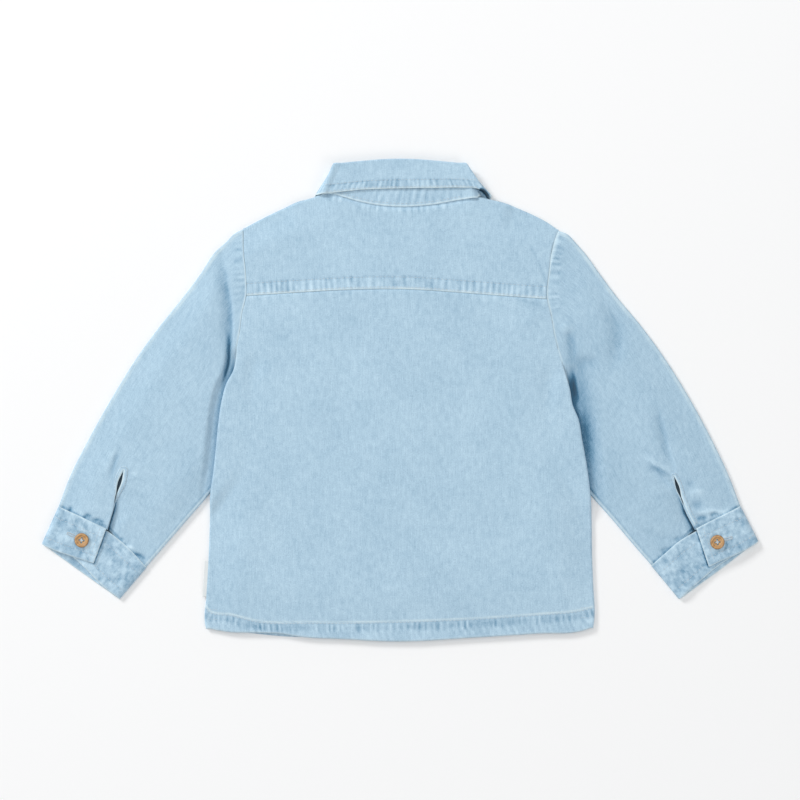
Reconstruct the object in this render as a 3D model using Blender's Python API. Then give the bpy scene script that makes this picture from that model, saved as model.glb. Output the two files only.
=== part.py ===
# Light denim shirt of a small child, lying face down with its sleeves spread.
# +X is to the shirt's right as seen from behind, +Y is towards the collar, +Z is up.
# Sizes and tables are in millimetres; MM brings them to metres.
import math

import bpy
import numpy as np

MM = 0.001
WALL = 1.1  # denim with its seam allowances
CUFF_WALL = 1.5  # two layers and an interlining
SEAM_GAP = 0.3
ARMHOLE_GAP = 0.6
ARMHOLE_REACH = 0.16  # share of the sleeve's length over which its cut end follows the body
EDGE_GAP = 0.8  # between the middle surfaces of two walls that meet at a folded edge
REST = WALL / 2  # height of a middle surface whose wall rests on the ground
LEVEL = WALL + SEAM_GAP  # one cloth higher
CROWN = 5.0  # middle of the upper wall where the shirt is loftiest
CENTRE_CROWN = 0.7
EDGE_RISE = 2.2  # upper wall over lower wall at a folded edge
ROLL_REACH = 1.5
ROLL_ANGLES = (84, 56, 28)
PLACKET_HALF = 12.0
SLEEVE_UNDER = 2.9  # height of a flattened sleeve that the body lies on
BUTTON_RADIUS = 5.7
BUTTON_THICK = 1.9
DENIM = (0.43, 0.61, 0.75)
WOOD = (0.45, 0.26, 0.13)
LABEL = (0.86, 0.87, 0.86)

# x, y along each edge of the shirt as it lies
SHOULDER_AND_NECK = (
    (-125.6, 136.8), (-116.0, 142.0), (-96.8, 151.6), (-85.6, 156.4), (-74.0, 160.6), (-64.0, 162.4),
    (-54.2, 163.6), (-37.4, 160.6), (-17.1, 156.6), (3.0, 155.4), (26.6, 157.1), (49.1, 161.0),
    (62.0, 162.4), (74.0, 160.0), (86.4, 156.4), (98.4, 151.6), (117.6, 142.0), (126.8, 135.6),
)
FRONT_NECK = (
    (-125.6, 136.8), (-96.8, 151.6), (-74.0, 160.4), (-66.0, 160.2), (-61.0, 157.0), (-53.6, 147.6),
    (-40.2, 128.6), (-22.6, 113.8), (-9.0, 108.4), (0.0, 107.4), (9.0, 108.4), (22.6, 113.8),
    (40.2, 128.6), (53.6, 147.6), (61.0, 157.0), (66.0, 159.9), (74.0, 159.8), (98.4, 151.6),
    (126.8, 135.6),
)
YOKE_SEAM = (
    (-127.0, 82.6), (-88.6, 86.5), (-57.9, 87.5), (-24.3, 89.0), (3.0, 89.8), (33.6, 86.8),
    (67.4, 84.6), (122.0, 80.8),
)
BACK_HEM = (
    (-155.4, -182.6), (-137.6, -185.6), (-112.0, -186.3), (-96.0, -186.9), (-82.3, -189.2),
    (-44.8, -191.4), (-6.0, -193.2), (62.4, -190.0), (109.4, -187.0), (148.0, -184.2), (154.8, -181.8),
)
FRONT_HEM = (
    (-155.2, -182.4), (-112.0, -187.6), (-96.0, -189.2), (-82.0, -189.9), (-45.0, -190.6),
    (0.0, -191.4), (62.0, -188.6), (110.0, -185.6), (154.6, -181.4),
)
# y, x down each side: armhole, underarm, side edge
LEFT_SIDE = (
    (136.8, -125.6), (116.4, -124.8), (101.2, -123.4), (83.2, -123.2), (69.2, -126.5), (57.2, -128.0),
    (43.6, -130.4), (26.5, -132.4), (22.2, -133.8), (12.9, -138.9), (0.7, -142.4), (-17.8, -145.3),
    (-39.3, -147.4), (-59.3, -149.6), (-73.5, -151.6), (-96.4, -152.2), (-129.2, -153.4),
    (-158.0, -155.1), (-178.6, -156.2), (-182.6, -155.4),
)
RIGHT_SIDE = (
    (135.6, 126.8), (123.6, 122.3), (103.6, 119.4), (80.8, 117.8), (69.2, 120.6), (50.8, 123.9),
    (30.8, 129.4), (14.0, 134.4), (9.2, 135.8), (-5.0, 138.4), (-15.0, 142.6), (-32.1, 145.8),
    (-52.1, 149.4), (-75.0, 152.3), (-128.4, 153.9), (-146.0, 154.6), (-177.7, 155.4), (-181.8, 154.8),
)
# sleeve stations from the armhole to the cuff: folded outer edge, underarm edge
LEFT_SLEEVE = (
    dict(outer=(-125.6, 136.8), inner=(-132.4, 26.5)),
    dict(outer=(-147.2, 119.6), inner=(-131.0, 5.0)),
    dict(outer=(-172.8, 83.6), inner=(-130.0, -16.0)),
    dict(outer=(-192.0, 59.6), inner=(-131.0, -36.0)),
    dict(outer=(-209.6, 35.6), inner=(-138.0, -56.0)),
    dict(outer=(-232.0, -0.4), inner=(-151.6, -73.8)),
    dict(outer=(-252.0, -36.4), inner=(-171.0, -96.4)),
    dict(outer=(-264.0, -60.4), inner=(-189.0, -117.2)),
    dict(outer=(-273.2, -84.4), inner=(-202.6, -132.9)),
)
RIGHT_SLEEVE = (
    dict(outer=(126.8, 135.6), inner=(134.4, 14.0)),
    dict(outer=(146.4, 119.6), inner=(132.0, -5.0)),
    dict(outer=(172.8, 83.6), inner=(130.5, -22.0)),
    dict(outer=(192.8, 59.6), inner=(131.5, -40.0)),
    dict(outer=(210.4, 35.6), inner=(138.0, -58.0)),
    dict(outer=(232.8, -0.4), inner=(152.4, -75.6)),
    dict(outer=(252.0, -36.4), inner=(172.0, -98.0)),
    dict(outer=(263.2, -60.4), inner=(188.0, -117.0)),
    dict(outer=(272.4, -84.4), inner=(201.0, -131.8)),
)
# the sleeve opening from its top to the cuff, and the upper wall's cuff seam
LEFT_SLIT = ((-221.0, -56.4), (-225.4, -70.0), (-228.8, -82.0), (-234.6, -101.6))
RIGHT_SLIT = ((219.0, -61.0), (224.0, -76.0), (229.0, -88.0), (236.2, -101.8))
# share of the width, bow
LEFT_CUFF_SEAM = ((0.0, 0.3), (0.22, 3.1), (0.36, 5.0), (0.5, 6.9), (0.68, 5.0), (0.86, 2.2), (1.0, 0.3))
RIGHT_CUFF_SEAM = ((0.0, 0.3), (0.23, 2.4), (0.46, 5.0), (0.66, 3.7), (0.84, 1.8), (1.0, 0.3))
# cuff stations round the wrist: seam edge, lower edge, height of the middle surface
LEFT_CUFF = (
    dict(seam=(-234.9, -103.0), lower=(-245.0, -130.3), z=5.1),
    dict(seam=(-245.0, -98.3), lower=(-253.0, -127.8), z=5.1),
    dict(seam=(-256.0, -93.0), lower=(-264.0, -124.3), z=4.9),
    dict(seam=(-266.5, -88.3), lower=(-278.0, -119.4), z=4.2),
    dict(seam=(-272.0, -85.7), lower=(-285.3, -116.0), z=3.2),
    dict(seam=(-272.8, -85.3), lower=(-286.4, -115.4), z=2.2),
    dict(seam=(-271.0, -86.4), lower=(-284.6, -116.6), z=1.1),
    dict(seam=(-264.0, -91.4), lower=(-279.0, -120.8), z=0.75),
    dict(seam=(-238.0, -109.3), lower=(-256.3, -137.2), z=0.75),
    dict(seam=(-211.0, -127.9), lower=(-232.0, -154.4), z=0.75),
    dict(seam=(-205.0, -132.2), lower=(-226.6, -158.2), z=1.0),
    dict(seam=(-203.2, -133.4), lower=(-225.2, -159.0), z=1.9),
    dict(seam=(-204.6, -132.0), lower=(-226.6, -157.6), z=2.7),
    dict(seam=(-212.0, -124.0), lower=(-233.5, -152.2), z=3.1),
    dict(seam=(-223.0, -113.5), lower=(-243.4, -143.4), z=3.1),
    dict(seam=(-235.6, -104.2), lower=(-252.6, -133.8), z=3.1),
    dict(seam=(-247.0, -99.4), lower=(-262.6, -126.6), z=2.9),
)
RIGHT_CUFF = (
    dict(seam=(237.0, -102.8), lower=(247.0, -133.2), z=5.1),
    dict(seam=(247.0, -97.6), lower=(257.6, -128.0), z=5.1),
    dict(seam=(257.4, -92.4), lower=(267.6, -124.0), z=4.9),
    dict(seam=(266.5, -88.0), lower=(279.4, -118.0), z=4.2),
    dict(seam=(271.3, -85.6), lower=(285.4, -114.2), z=3.2),
    dict(seam=(272.0, -85.2), lower=(286.4, -113.5), z=2.2),
    dict(seam=(270.2, -86.3), lower=(284.6, -114.8), z=1.1),
    dict(seam=(263.0, -91.4), lower=(278.0, -119.6), z=0.75),
    dict(seam=(237.6, -108.4), lower=(256.0, -136.4), z=0.75),
    dict(seam=(209.6, -127.0), lower=(231.0, -154.6), z=0.75),
    dict(seam=(203.6, -131.0), lower=(225.6, -158.6), z=1.0),
    dict(seam=(201.8, -132.2), lower=(224.2, -159.3), z=1.9),
    dict(seam=(203.2, -130.8), lower=(225.6, -157.8), z=2.7),
    dict(seam=(212.0, -123.0), lower=(233.6, -150.4), z=3.1),
    dict(seam=(223.4, -113.2), lower=(243.6, -141.8), z=3.1),
    dict(seam=(237.6, -104.8), lower=(254.2, -133.0), z=3.1),
    dict(seam=(248.6, -98.8), lower=(264.0, -126.4), z=2.9),
)
# stations round the collar from the neck's front, by its side fold, to the centre back: neck seam,
# top of the stand, roll line and outer edge of the leaf; heights of stand and leaf
COLLAR = (
    dict(seam=(9.0, 109.0), top=(7.0, 128.8), roll=(6.5, 133.2), edge=(42.0, 99.0), z=1.95, leaf=0.62),
    dict(seam=(23.0, 115.2), top=(16.5, 134.0), roll=(15.0, 138.4), edge=(52.0, 110.0), z=1.95, leaf=0.62),
    dict(seam=(40.0, 130.8), top=(29.5, 147.6), roll=(27.0, 152.0), edge=(61.0, 127.0), z=1.95, leaf=0.62),
    dict(seam=(54.0, 149.2), top=(42.0, 165.0), roll=(39.0, 169.6), edge=(67.6, 144.4), z=1.95, leaf=0.62),
    dict(seam=(61.6, 159.2), top=(50.6, 175.6), roll=(48.4, 181.0), edge=(71.2, 159.4), z=2.1, leaf=0.66),
    dict(seam=(64.0, 163.4), top=(54.6, 180.2), roll=(53.0, 186.8), edge=(72.4, 164.4), z=3.5, leaf=3.5),
    dict(seam=(62.0, 162.8), top=(53.0, 181.0), roll=(51.2, 189.4), edge=(69.2, 167.0), z=4.9, leaf=6.6),
    dict(seam=(52.0, 161.6), top=(44.5, 180.6), roll=(44.5, 190.8), edge=(60.0, 168.4), z=5.2, leaf=6.9),
    dict(seam=(39.0, 159.2), top=(34.0, 180.4), roll=(36.0, 191.6), edge=(46.0, 169.6), z=5.3, leaf=7.0),
    dict(seam=(26.0, 157.2), top=(22.5, 180.3), roll=(24.0, 192.4), edge=(31.0, 170.8), z=5.3, leaf=7.0),
    dict(seam=(13.0, 155.9), top=(11.2, 180.3), roll=(12.0, 193.0), edge=(15.5, 170.6), z=5.3, leaf=7.0),
    dict(seam=(0.0, 155.6), top=(0.0, 180.3), roll=(0.0, 193.2), edge=(0.0, 170.3), z=5.3, leaf=7.0),
)
STAND_END = dict(seam=(-10.0, 109.0), top=(-8.6, 128.6), z=1.95)
FRONT_BUTTONS = ((0.0, 119.0), (0.0, 76.0), (0.0, 30.0), (0.0, -16.0), (0.0, -62.0), (0.0, -108.0))
CUFF_BUTTONS = dict(left=(-254.2, -112.0), right=(253.4, -113.5))
LABEL_SIZE = dict(y=(-157.8, -129.0), out=3.2, z=1.7, thick=1.0)
# main folds of the upper walls: start, end, width, height
FOLDS = (
    dict(start=(-143.2, 118.0), end=(-136.0, 50.0), width=5.0, height=-0.9),
    dict(start=(-140.0, 78.0), end=(-150.0, 20.0), width=9.0, height=-0.6),
    dict(start=(-166.0, 20.0), end=(-216.0, -40.0), width=16.0, height=0.5),
    dict(start=(157.0, 79.0), end=(168.0, 18.0), width=9.0, height=-0.9),
    dict(start=(143.0, 34.0), end=(160.0, 32.0), width=6.0, height=0.7),
    dict(start=(171.0, 62.0), end=(190.0, 8.0), width=9.0, height=0.5),
    dict(start=(206.0, 0.0), end=(218.0, -60.0), width=6.0, height=-0.7),
    dict(start=(33.0, 151.0), end=(112.0, 143.0), width=5.0, height=0.5),
    dict(start=(-108.0, 60.0), end=(-96.0, -40.0), width=14.0, height=0.4),
    dict(start=(84.0, 66.0), end=(104.0, -30.0), width=14.0, height=0.4),
)


def fade(share):
    """0 to 1, with a soft start and end."""
    share = np.clip(share, 0, 1)
    return share * share * (3 - 2 * share)


def curve(table, at):
    """The second column of a table at values of its first, rounded between its rows."""
    table = sorted(table)
    keys, values = (np.array(column, float) for column in zip(*table))
    slopes = np.gradient(values, keys)
    at = np.clip(np.asarray(at, float), keys[0], keys[-1])
    row = np.clip(np.searchsorted(keys, at) - 1, 0, len(keys) - 2)
    span = keys[row + 1] - keys[row]
    t = (at - keys[row]) / span
    return (
        values[row] * (1 + 2 * t) * (1 - t) ** 2 + values[row + 1] * t * t * (3 - 2 * t)
        + span * (slopes[row] * t * (1 - t) ** 2 - slopes[row + 1] * t * t * (1 - t))
    )


def along(points, share):
    """Points at shares of the length of a smooth line through a table of points."""
    points = np.array(points, float)
    steps = np.linalg.norm(np.diff(points, axis=0), axis=1)
    keys = np.concatenate([[0], np.cumsum(steps)]) / steps.sum()
    columns = [curve(list(zip(keys, column)), share) for column in points.T]
    return np.stack(columns, axis=-1)


def crowded(count, pull=0.75):
    """Shares from 0 to 1, closer together at both ends."""
    even = np.linspace(0, 1, count)
    return (1 - pull) * even + pull * (1 - np.cos(math.pi * even)) / 2


def near_segment(x, y, start, end):
    """Distance to a segment, and the share of its length at the nearest point."""
    start, end = np.array(start), np.array(end)
    way = end - start
    share = ((x - start[0]) * way[0] + (y - start[1]) * way[1]) / (way @ way)
    held = np.clip(share, 0, 1)
    return np.hypot(x - start[0] - held * way[0], y - start[1] - held * way[1]), held


def folds(x, y):
    total = np.zeros_like(x)
    for fold in FOLDS:
        distance, share = near_segment(x, y, fold["start"], fold["end"])
        taper = 0.35 + 0.65 * np.sin(math.pi * share)
        total += fold["height"] * taper * np.exp(-((distance / fold["width"]) ** 2))
    return total


def side_x(side, y):
    return curve(LEFT_SIDE if side < 0 else RIGHT_SIDE, y)


def sleeve_table(side):
    return LEFT_SLEEVE if side < 0 else RIGHT_SLEEVE


def underarm(side):
    return sleeve_table(side)[0]["inner"][1]


def body_over_sleeve(x, y):
    """How far the body's lower wall is lifted by the sleeves that lie under its edges."""
    lift = np.zeros_like(x)
    for side in (-1, 1):
        inner = [station["inner"][::-1] for station in sleeve_table(side)]
        edge = curve(inner, y) * side
        across = fade((x * side - edge + 19) / 14)
        lift = np.maximum(lift, across * fade((underarm(side) + 22 - y) / 16))
    return SLEEVE_UNDER * lift


def collar_lift(x, y):
    """The fronts lie on the collar's front leaves, which are folded under them."""
    lift = np.zeros_like(x)
    for share in np.linspace(0, 1, 9):
        start, end = (along([station[key] for station in COLLAR[:6]], share) for key in ("roll", "edge"))
        distance, _ = near_segment(np.abs(x), y, start, end)
        lift = np.maximum(lift, fade((22 - distance) / 9))
    return LEVEL * lift


def button_lift(x, y):
    """The front bands lie on their buttons."""
    low = FRONT_BUTTONS[-1][1]
    return (BUTTON_THICK + SEAM_GAP) * fade((30 - np.abs(x)) / 12) * fade((y - low + 24) / 12)


def lower_height(x, y, layer=0.0):
    """Middle surface of the walls that lie nearest the ground; layer 1 laps over layer 0."""
    lift = np.maximum(np.maximum(body_over_sleeve(x, y), collar_lift(x, y)), button_lift(x, y))
    return REST + lift + LEVEL * layer


def lapped(x):
    return fade((34 - x) / 14) * fade((34 + x) / 14)


def upper_height(x, y):
    """Middle surface of the back and the yoke."""
    beside = np.minimum(x - side_x(-1, y), side_x(1, y) - x)
    past_arm = fade((np.where(x < 0, underarm(-1), underarm(1)) + 14 - y) / 14)
    inside = 1 - (1 - fade(beside / 30)) * past_arm
    inside = inside * (0.25 + 0.75 * fade((y - curve(BACK_HEM, x)) / 45))
    shoulder = curve(SHOULDER_AND_NECK, x) - y
    at_shoulder = fade((np.abs(x) - 52) / 16)
    inside = inside * (1 - (1 - fade(shoulder / 26)) * at_shoulder)
    under = lower_height(x, y)
    crown = CROWN + CENTRE_CROWN * np.exp(-((x / 60) ** 2))
    height = under + EDGE_RISE + (crown - under - EDGE_RISE) * inside
    return np.maximum(height + folds(x, y) * inside, under + LEVEL * (1.05 + lapped(x)))


def panel(rows, columns, left_x, right_x, top_y, bottom_y):
    """x, y of a grid that fills the space between four edges."""
    v, u = rows[:, None], columns[None, :]
    ends = np.array([-125.0, 125.0])
    top_left, top_right = left_x(top_y(ends))[0], right_x(top_y(ends))[1]
    low_left, low_right = left_x(bottom_y(ends * 1.2))[0], right_x(bottom_y(ends * 1.2))[1]
    top = top_y(top_left + (top_right - top_left) * u)
    bottom = bottom_y(low_left + (low_right - low_left) * u)
    y = top + (bottom - top) * v
    left, right = left_x(y[:, :1]), right_x(y[:, -1:])
    return left + (right - left) * u, y


def rolled(grid, drop):
    """Adds lines before a grid's first row that turn its edge down, or up, by drop."""
    edge = grid[0]
    tangent = np.gradient(edge[:, :2], axis=0)
    out = np.stack([-tangent[:, 1], tangent[:, 0]], axis=1)
    out /= np.linalg.norm(out, axis=1)[:, None]
    inward = grid[1, :, :2] - edge[:, :2]
    out *= -np.sign(np.sum(out * inward, axis=1))[:, None]
    lines = []
    for angle in ROLL_ANGLES:
        line = edge.copy()
        line[:, :2] += out * ROLL_REACH * math.sin(math.radians(angle))
        line[:, 2] -= drop * (1 - math.cos(math.radians(angle)))
        lines.append(line)
    return np.concatenate([np.array(lines), grid])


def roll_sides(grid, sides, direction):
    """Rolls a panel's free side edges half way to the other wall, but not its armholes."""
    for side in sides:
        turned = grid[:, ::side * -1].transpose(1, 0, 2)
        x, y = turned[0, :, 0], turned[0, :, 1]
        free = fade((underarm(side) + 2 - y) / 8)
        apart = upper_height(x, y) - lower_height(x, y)
        drop = direction * free * (apart - EDGE_GAP) / 2
        grid = rolled(turned, drop).transpose(1, 0, 2)[:, ::side * -1]
    return grid


def roll_shoulder(grid, direction):
    x, y = grid[0, :, 0], grid[0, :, 1]
    free = fade((np.abs(x) - 62) / 6)
    apart = upper_height(x, y) - lower_height(x, y)
    return rolled(grid, direction * free * (apart - EDGE_GAP) / 2)


def material(name, colour, roughness):
    made = bpy.data.materials.get(name) or bpy.data.materials.new(name)
    made.use_nodes = True
    shader = made.node_tree.nodes["Principled BSDF"]
    shader.inputs["Base Color"].default_value = (*colour, 1)
    shader.inputs["Roughness"].default_value = roughness
    shader.inputs["Metallic"].default_value = 0
    made.diffuse_color = (*colour, 1)
    return made


def mesh_object(name, points, faces, colour, roughness):
    mesh = bpy.data.meshes.new(name)
    mesh.from_pydata((np.asarray(points) * MM).tolist(), [], [list(map(int, face)) for face in faces])
    mesh.update()
    made = bpy.data.objects.new(name, mesh)
    bpy.context.scene.collection.objects.link(made)
    mesh.materials.append(material(name + "_cloth", colour, roughness))
    mesh.shade_smooth()
    return made


def cloth(name, grid, wall=WALL, ring_rows=0, colour=DENIM):
    """A closed wall on a grid of middle-surface points; its first ring_rows rows close into rings."""
    rows, columns = grid.shape[:2]
    index = np.arange(rows * columns).reshape(rows, columns)
    index[:ring_rows, -1] = index[:ring_rows, 0]
    faces = np.stack([index[:-1, :-1], index[:-1, 1:], index[1:, 1:], index[1:, :-1]], axis=-1)
    used, faces = np.unique(faces.reshape(-1, 4), return_inverse=True)
    made = mesh_object(name, grid.reshape(-1, 3)[used], faces.reshape(-1, 4), colour, 0.85)
    thicken = made.modifiers.new("wall", "SOLIDIFY")
    thicken.thickness = wall * MM
    thicken.offset = 0
    return made


def edge_inset(function, amount):
    return lambda at: function(at) + amount


def back_and_yoke():
    inset = ROLL_REACH + WALL / 2
    left_x = edge_inset(lambda y: side_x(-1, y), inset)
    right_x = edge_inset(lambda y: side_x(1, y), -inset)
    seam = lambda x: curve(YOKE_SEAM, x)
    hem = lambda x: curve(BACK_HEM, x)
    top = edge_inset(lambda x: curve(SHOULDER_AND_NECK, x), -inset)
    x, y = panel(crowded(18, 0.3), crowded(18), left_x, right_x, edge_inset(seam, -SEAM_GAP / 2), hem)
    back = np.stack([x, y, upper_height(x, y)], axis=-1)
    cloth("back_body", roll_sides(back, (-1, 1), 1))
    x, y = panel(crowded(9), crowded(24, 0.4), left_x, right_x, top, edge_inset(seam, SEAM_GAP / 2))
    yoke = np.stack([x, y, upper_height(x, y)], axis=-1)
    cloth("back_yoke", roll_shoulder(roll_sides(yoke, (-1, 1), 1), 1))


def fronts():
    inset = ROLL_REACH + WALL / 2
    top = edge_inset(lambda x: curve(FRONT_NECK, x), -inset)
    hem = lambda x: curve(FRONT_HEM, x)
    for name, side in (("front_left", -1), ("front_right", 1)):
        outer = edge_inset(lambda y: side_x(side, y), -side * inset)
        centre = lambda y: np.zeros_like(y) - side * PLACKET_HALF
        edges = (outer, centre) if side < 0 else (centre, outer)
        x, y = panel(crowded(23, 0.4), crowded(14), *edges, top, hem)
        layer = fade((34 - x) / 14) if side > 0 else 0
        front = np.stack([x, y, lower_height(x, y, layer)], axis=-1)
        cloth(name, roll_shoulder(roll_sides(front, (side,), -1), -1))


def cover(x, y, side):
    """1 where the body lies over the sleeve, 0 where the sleeve is free."""
    beyond = (x - side_x(side, y)) * side
    return fade((16 - beyond) / 10) * fade((underarm(side) + 17 - y) / 11)


def sleeve(name, side):
    table = sleeve_table(side)
    slit = LEFT_SLIT if side < 0 else RIGHT_SLIT
    bow = LEFT_CUFF_SEAM if side < 0 else RIGHT_CUFF_SEAM
    rows = np.concatenate([[0, 0.05], np.linspace(0.12, 0.7, 8), np.linspace(0.76, 1, 7)])
    opened = 10  # row at the top of the opening
    outer = along([station["outer"] for station in table], rows)
    inner = along([station["inner"] for station in table], rows)
    across = inner - outer
    width = np.linalg.norm(across, axis=1)
    # share of the way from the outer to the underarm edge at which the opening runs
    slit_share = np.interp(rows, (0, rows[opened], 1), (0.42, 0.40, 0.49))
    grid = []
    for row, share in enumerate(rows):
        out = across[row] / width[row]
        normal = np.array([out[1], -out[0]]) * side
        reach = EDGE_RISE / 2
        inset = (reach + WALL / 2) / width[row]
        top_out = slit_share[row] + (inset - slit_share[row]) * crowded(7, 0.6)
        bottom = inset + (1 - 2 * inset) * crowded(9, 0.6)
        top_in = 1 - inset + (slit_share[row] - 1 + inset) * crowded(8, 0.6)
        turn = np.radians((45, 90, 135))
        bend_out = inset - reach / width[row] * np.sin(turn)
        bend_in = 1 - inset + reach / width[row] * np.sin(turn)
        shares = np.concatenate([top_out, bend_out, bottom, bend_in, top_in])
        below = np.concatenate([
            np.zeros(7), (1 - np.cos(turn)) / 2, np.ones(9), (1 + np.cos(turn)) / 2, np.zeros(8),
        ])
        point = outer[row] + across[row] * shares[:, None]
        bowed = curve(bow, shares) * fade((share - 0.62) / 0.38) * (1 - below)
        point = point + normal * bowed[:, None]
        armhole = side_x(side, point[:, 1]) - side * (REST - ARMHOLE_GAP)
        near_body = fade(1 - share / ARMHOLE_REACH) * (fade(shares / 0.3) if row else 1)
        point[:, 0] += (armhole - point[:, 0]) * near_body
        x, y = point[:, 0], point[:, 1]
        inside = fade(shares * width[row] / 28) * fade((1 - shares) * width[row] / 28)
        at_cuff = fade((share - 0.76) / 0.24)
        loft = CROWN - REST - EDGE_RISE - 1.9 * at_cuff
        # the side of the opening that the cuff's over-lap is sewn to lies one layer higher
        loft = loft + 2.0 * at_cuff * (np.arange(len(shares)) < 7)
        high = REST + EDGE_RISE + loft * inside + folds(x, y) * inside
        high = high + (REST + LEVEL + 0.1 - high) * cover(x, y, side)
        z = high + (REST - high) * below
        grid.append(np.stack([x, y, z], axis=-1))
    grid = np.array(grid)
    part_slit(grid, opened, slit)
    cloth(name, grid, ring_rows=opened + 1)
    return grid, opened


def part_slit(grid, opened, slit):
    """Draws the ring's first and last columns to the opening and parts them below its top."""
    count = len(grid) - opened
    line = along(slit, np.linspace(0, 1, count))
    shift = line - grid[opened:, 0, :2]
    near = np.array([1, 0.75, 0.45, 0.2])
    part = 0.35 + 1.1 * np.sin(np.linspace(0, math.pi, count)) ** 2 * (np.linspace(1, 0, count) > 0)
    part[0] = 0
    away = grid[-1, 1, :2] - grid[-1, -2, :2]
    away /= np.linalg.norm(away)
    for step, share in enumerate(near):
        grid[opened:, step, :2] += shift * share + away * part[:, None] * share
        grid[opened:, -1 - step, :2] += shift * share - away * part[:, None] * share
        grid[opened - 1, step, :2] += shift[0] * share * 0.5
        grid[opened - 1, -1 - step, :2] += shift[0] * share * 0.5
    grid[:opened + 1, -1] = grid[:opened + 1, 0]


def bindings(name, grid, opened, side):
    """The opening's bound edge, which lies on the sleeve: up one side, round the top, down the other."""
    slit = np.array(LEFT_SLIT if side < 0 else RIGHT_SLIT)
    inner_edge, outer_edge = (1.0, 5.2) if side < 0 else (0.6, 6.6)
    shares = np.linspace(0.985, 0.0, 7)
    line = along(slit, shares)
    tangent = np.gradient(line, axis=0)
    tangent /= np.linalg.norm(tangent, axis=1)[:, None]
    normal = np.stack([-tangent[:, 1], tangent[:, 0]], axis=1)
    paths = []
    for reach in (inner_edge, (inner_edge + outer_edge) / 2, outer_edge):
        taper = np.interp(shares, (0, 0.35, 1), (0.85, 1, 0.62))[:, None]
        first = line + normal * reach * taper
        second = (line - normal * reach * taper)[::-1]
        turn = np.radians((45, 90, 135))
        top = line[-1] + reach * 0.85 * (
            np.cos(turn)[:, None] * normal[-1] + np.sin(turn)[:, None] * tangent[-1]
        )
        paths.append(np.concatenate([first, top, second]))
    strip = np.array(paths)
    x, y = strip[..., 0], strip[..., 1]
    lap_side = (x - curve(slit[:, ::-1].tolist(), y)) * side > 0
    height = np.where(lap_side, wall_height(grid[8:, :7], x, y), wall_height(grid[8:, -8:], x, y))
    cloth(name, np.concatenate([strip, (height + LEVEL + 0.15)[..., None]], axis=-1), wall=1.0)


def wall_height(points, x, y):
    """Height at x, y of the wall that runs through some points."""
    points = points.reshape(-1, 3)
    apart = np.hypot(x[..., None] - points[:, 0], y[..., None] - points[:, 1])
    weight = np.exp(-((apart / 5) ** 2)) + 1e-9
    return (weight * points[:, 2]).sum(-1) / weight.sum(-1)


def cuff(name, table):
    seam = np.array([(*station["seam"], station["z"]) for station in table])
    lower = np.array([(*station["lower"], station["z"]) for station in table])
    share = np.linspace(0, 1, 5)[:, None, None]
    cloth(name, seam + (lower - seam) * share, wall=CUFF_WALL)


def collar_stations():
    """The collar's stations from the right front, round the back, to the left front."""
    other = [{key: mirror_point(value) for key, value in row.items()} for row in COLLAR[-2::-1]]
    return list(COLLAR) + other


def collar():
    lines = []
    for station in collar_stations():
        top, roll, edge = (np.array(station[key]) for key in ("top", "roll", "edge"))
        start = top + (roll - top) / np.linalg.norm(roll - top) * SEAM_GAP * 1.8
        out = (roll - edge) / np.linalg.norm(roll - edge)
        low, high = station["z"], station["leaf"]
        bend = abs(high - low) / 2
        near = roll - out * (bend + WALL / 2)
        line = [(*start, low), (*((start + near) / 2), low), (*near, low)]
        line.append((*(near + out * bend), (low + high) / 2))
        line += [(*(near + (edge - near) * share), high) for share in (0, 0.25, 0.5, 0.75, 0.9, 1)]
        lines.append(line)
    cloth("collar", np.array(lines).transpose(1, 0, 2))


def stand():
    ends = [STAND_END, {key: mirror_point(value) for key, value in STAND_END.items()}]
    stations = [ends[0], *collar_stations(), ends[1]]
    rows = []
    for share in np.linspace(0, 1, 5):
        row = []
        for station in stations:
            seam, top = np.array(station["seam"]), np.array(station["top"])
            if station["z"] > 4.5:
                seam[1] = curve(SHOULDER_AND_NECK, seam[0])
            x, y = seam + (top - seam) * share
            ridge = button_lift(np.array(x), np.array(y)) if station["z"] < 2.2 else 0
            row.append((x, y, max(station["z"], REST + ridge)))
        rows.append(row)
    grid = np.array(rows)
    # the wearer's right end laps over the left one, which is nearer the ground
    grid[:, :2, 2] += LEVEL
    cloth("collar_stand", grid)


def mirror_point(value):
    return (-value[0], value[1]) if isinstance(value, tuple) else value


def button(name, x, y, base, facing):
    """A turned wooden button with a raised rim and four holes; facing 1 is up, -1 is down."""
    radius, thick = BUTTON_RADIUS, BUTTON_THICK
    profile = (
        (0.0, thick - 0.6), (3.6, thick - 0.6), (4.2, thick), (5.1, thick), (radius, thick - 0.5),
        (radius - 0.3, 0.0), (0.0, 0.0),
    )
    sides = 16
    angles = np.arange(sides) * 2 * math.pi / sides
    rings = [[(r * math.cos(a), r * math.sin(a), z) for a in angles] for r, z in profile[1:-1]]
    points = np.array(rings).reshape(-1, 3)
    faces = [list(range(sides)), [len(points) - 1 - i for i in range(sides)]]
    for ring in range(len(rings) - 1):
        for i in range(sides):
            a, b = ring * sides + i, ring * sides + (i + 1) % sides
            faces.append([a, a + sides, b + sides, b])
    made = mesh_object(name, points, faces, WOOD, 0.5)
    made.data.materials.clear()
    made.data.materials.append(material("wood", WOOD, 0.5))
    cutter = hole_cutter(name + "_holes")
    cutter.parent = made
    cut = made.modifiers.new("holes", "BOOLEAN")
    cut.object = cutter
    cut.operation = "DIFFERENCE"
    made.location = (x * MM, y * MM, base * MM)
    made.rotation_euler = (0 if facing > 0 else math.pi, 0, math.radians(38))
    made.data.set_sharp_from_angle(angle=math.radians(40))


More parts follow.
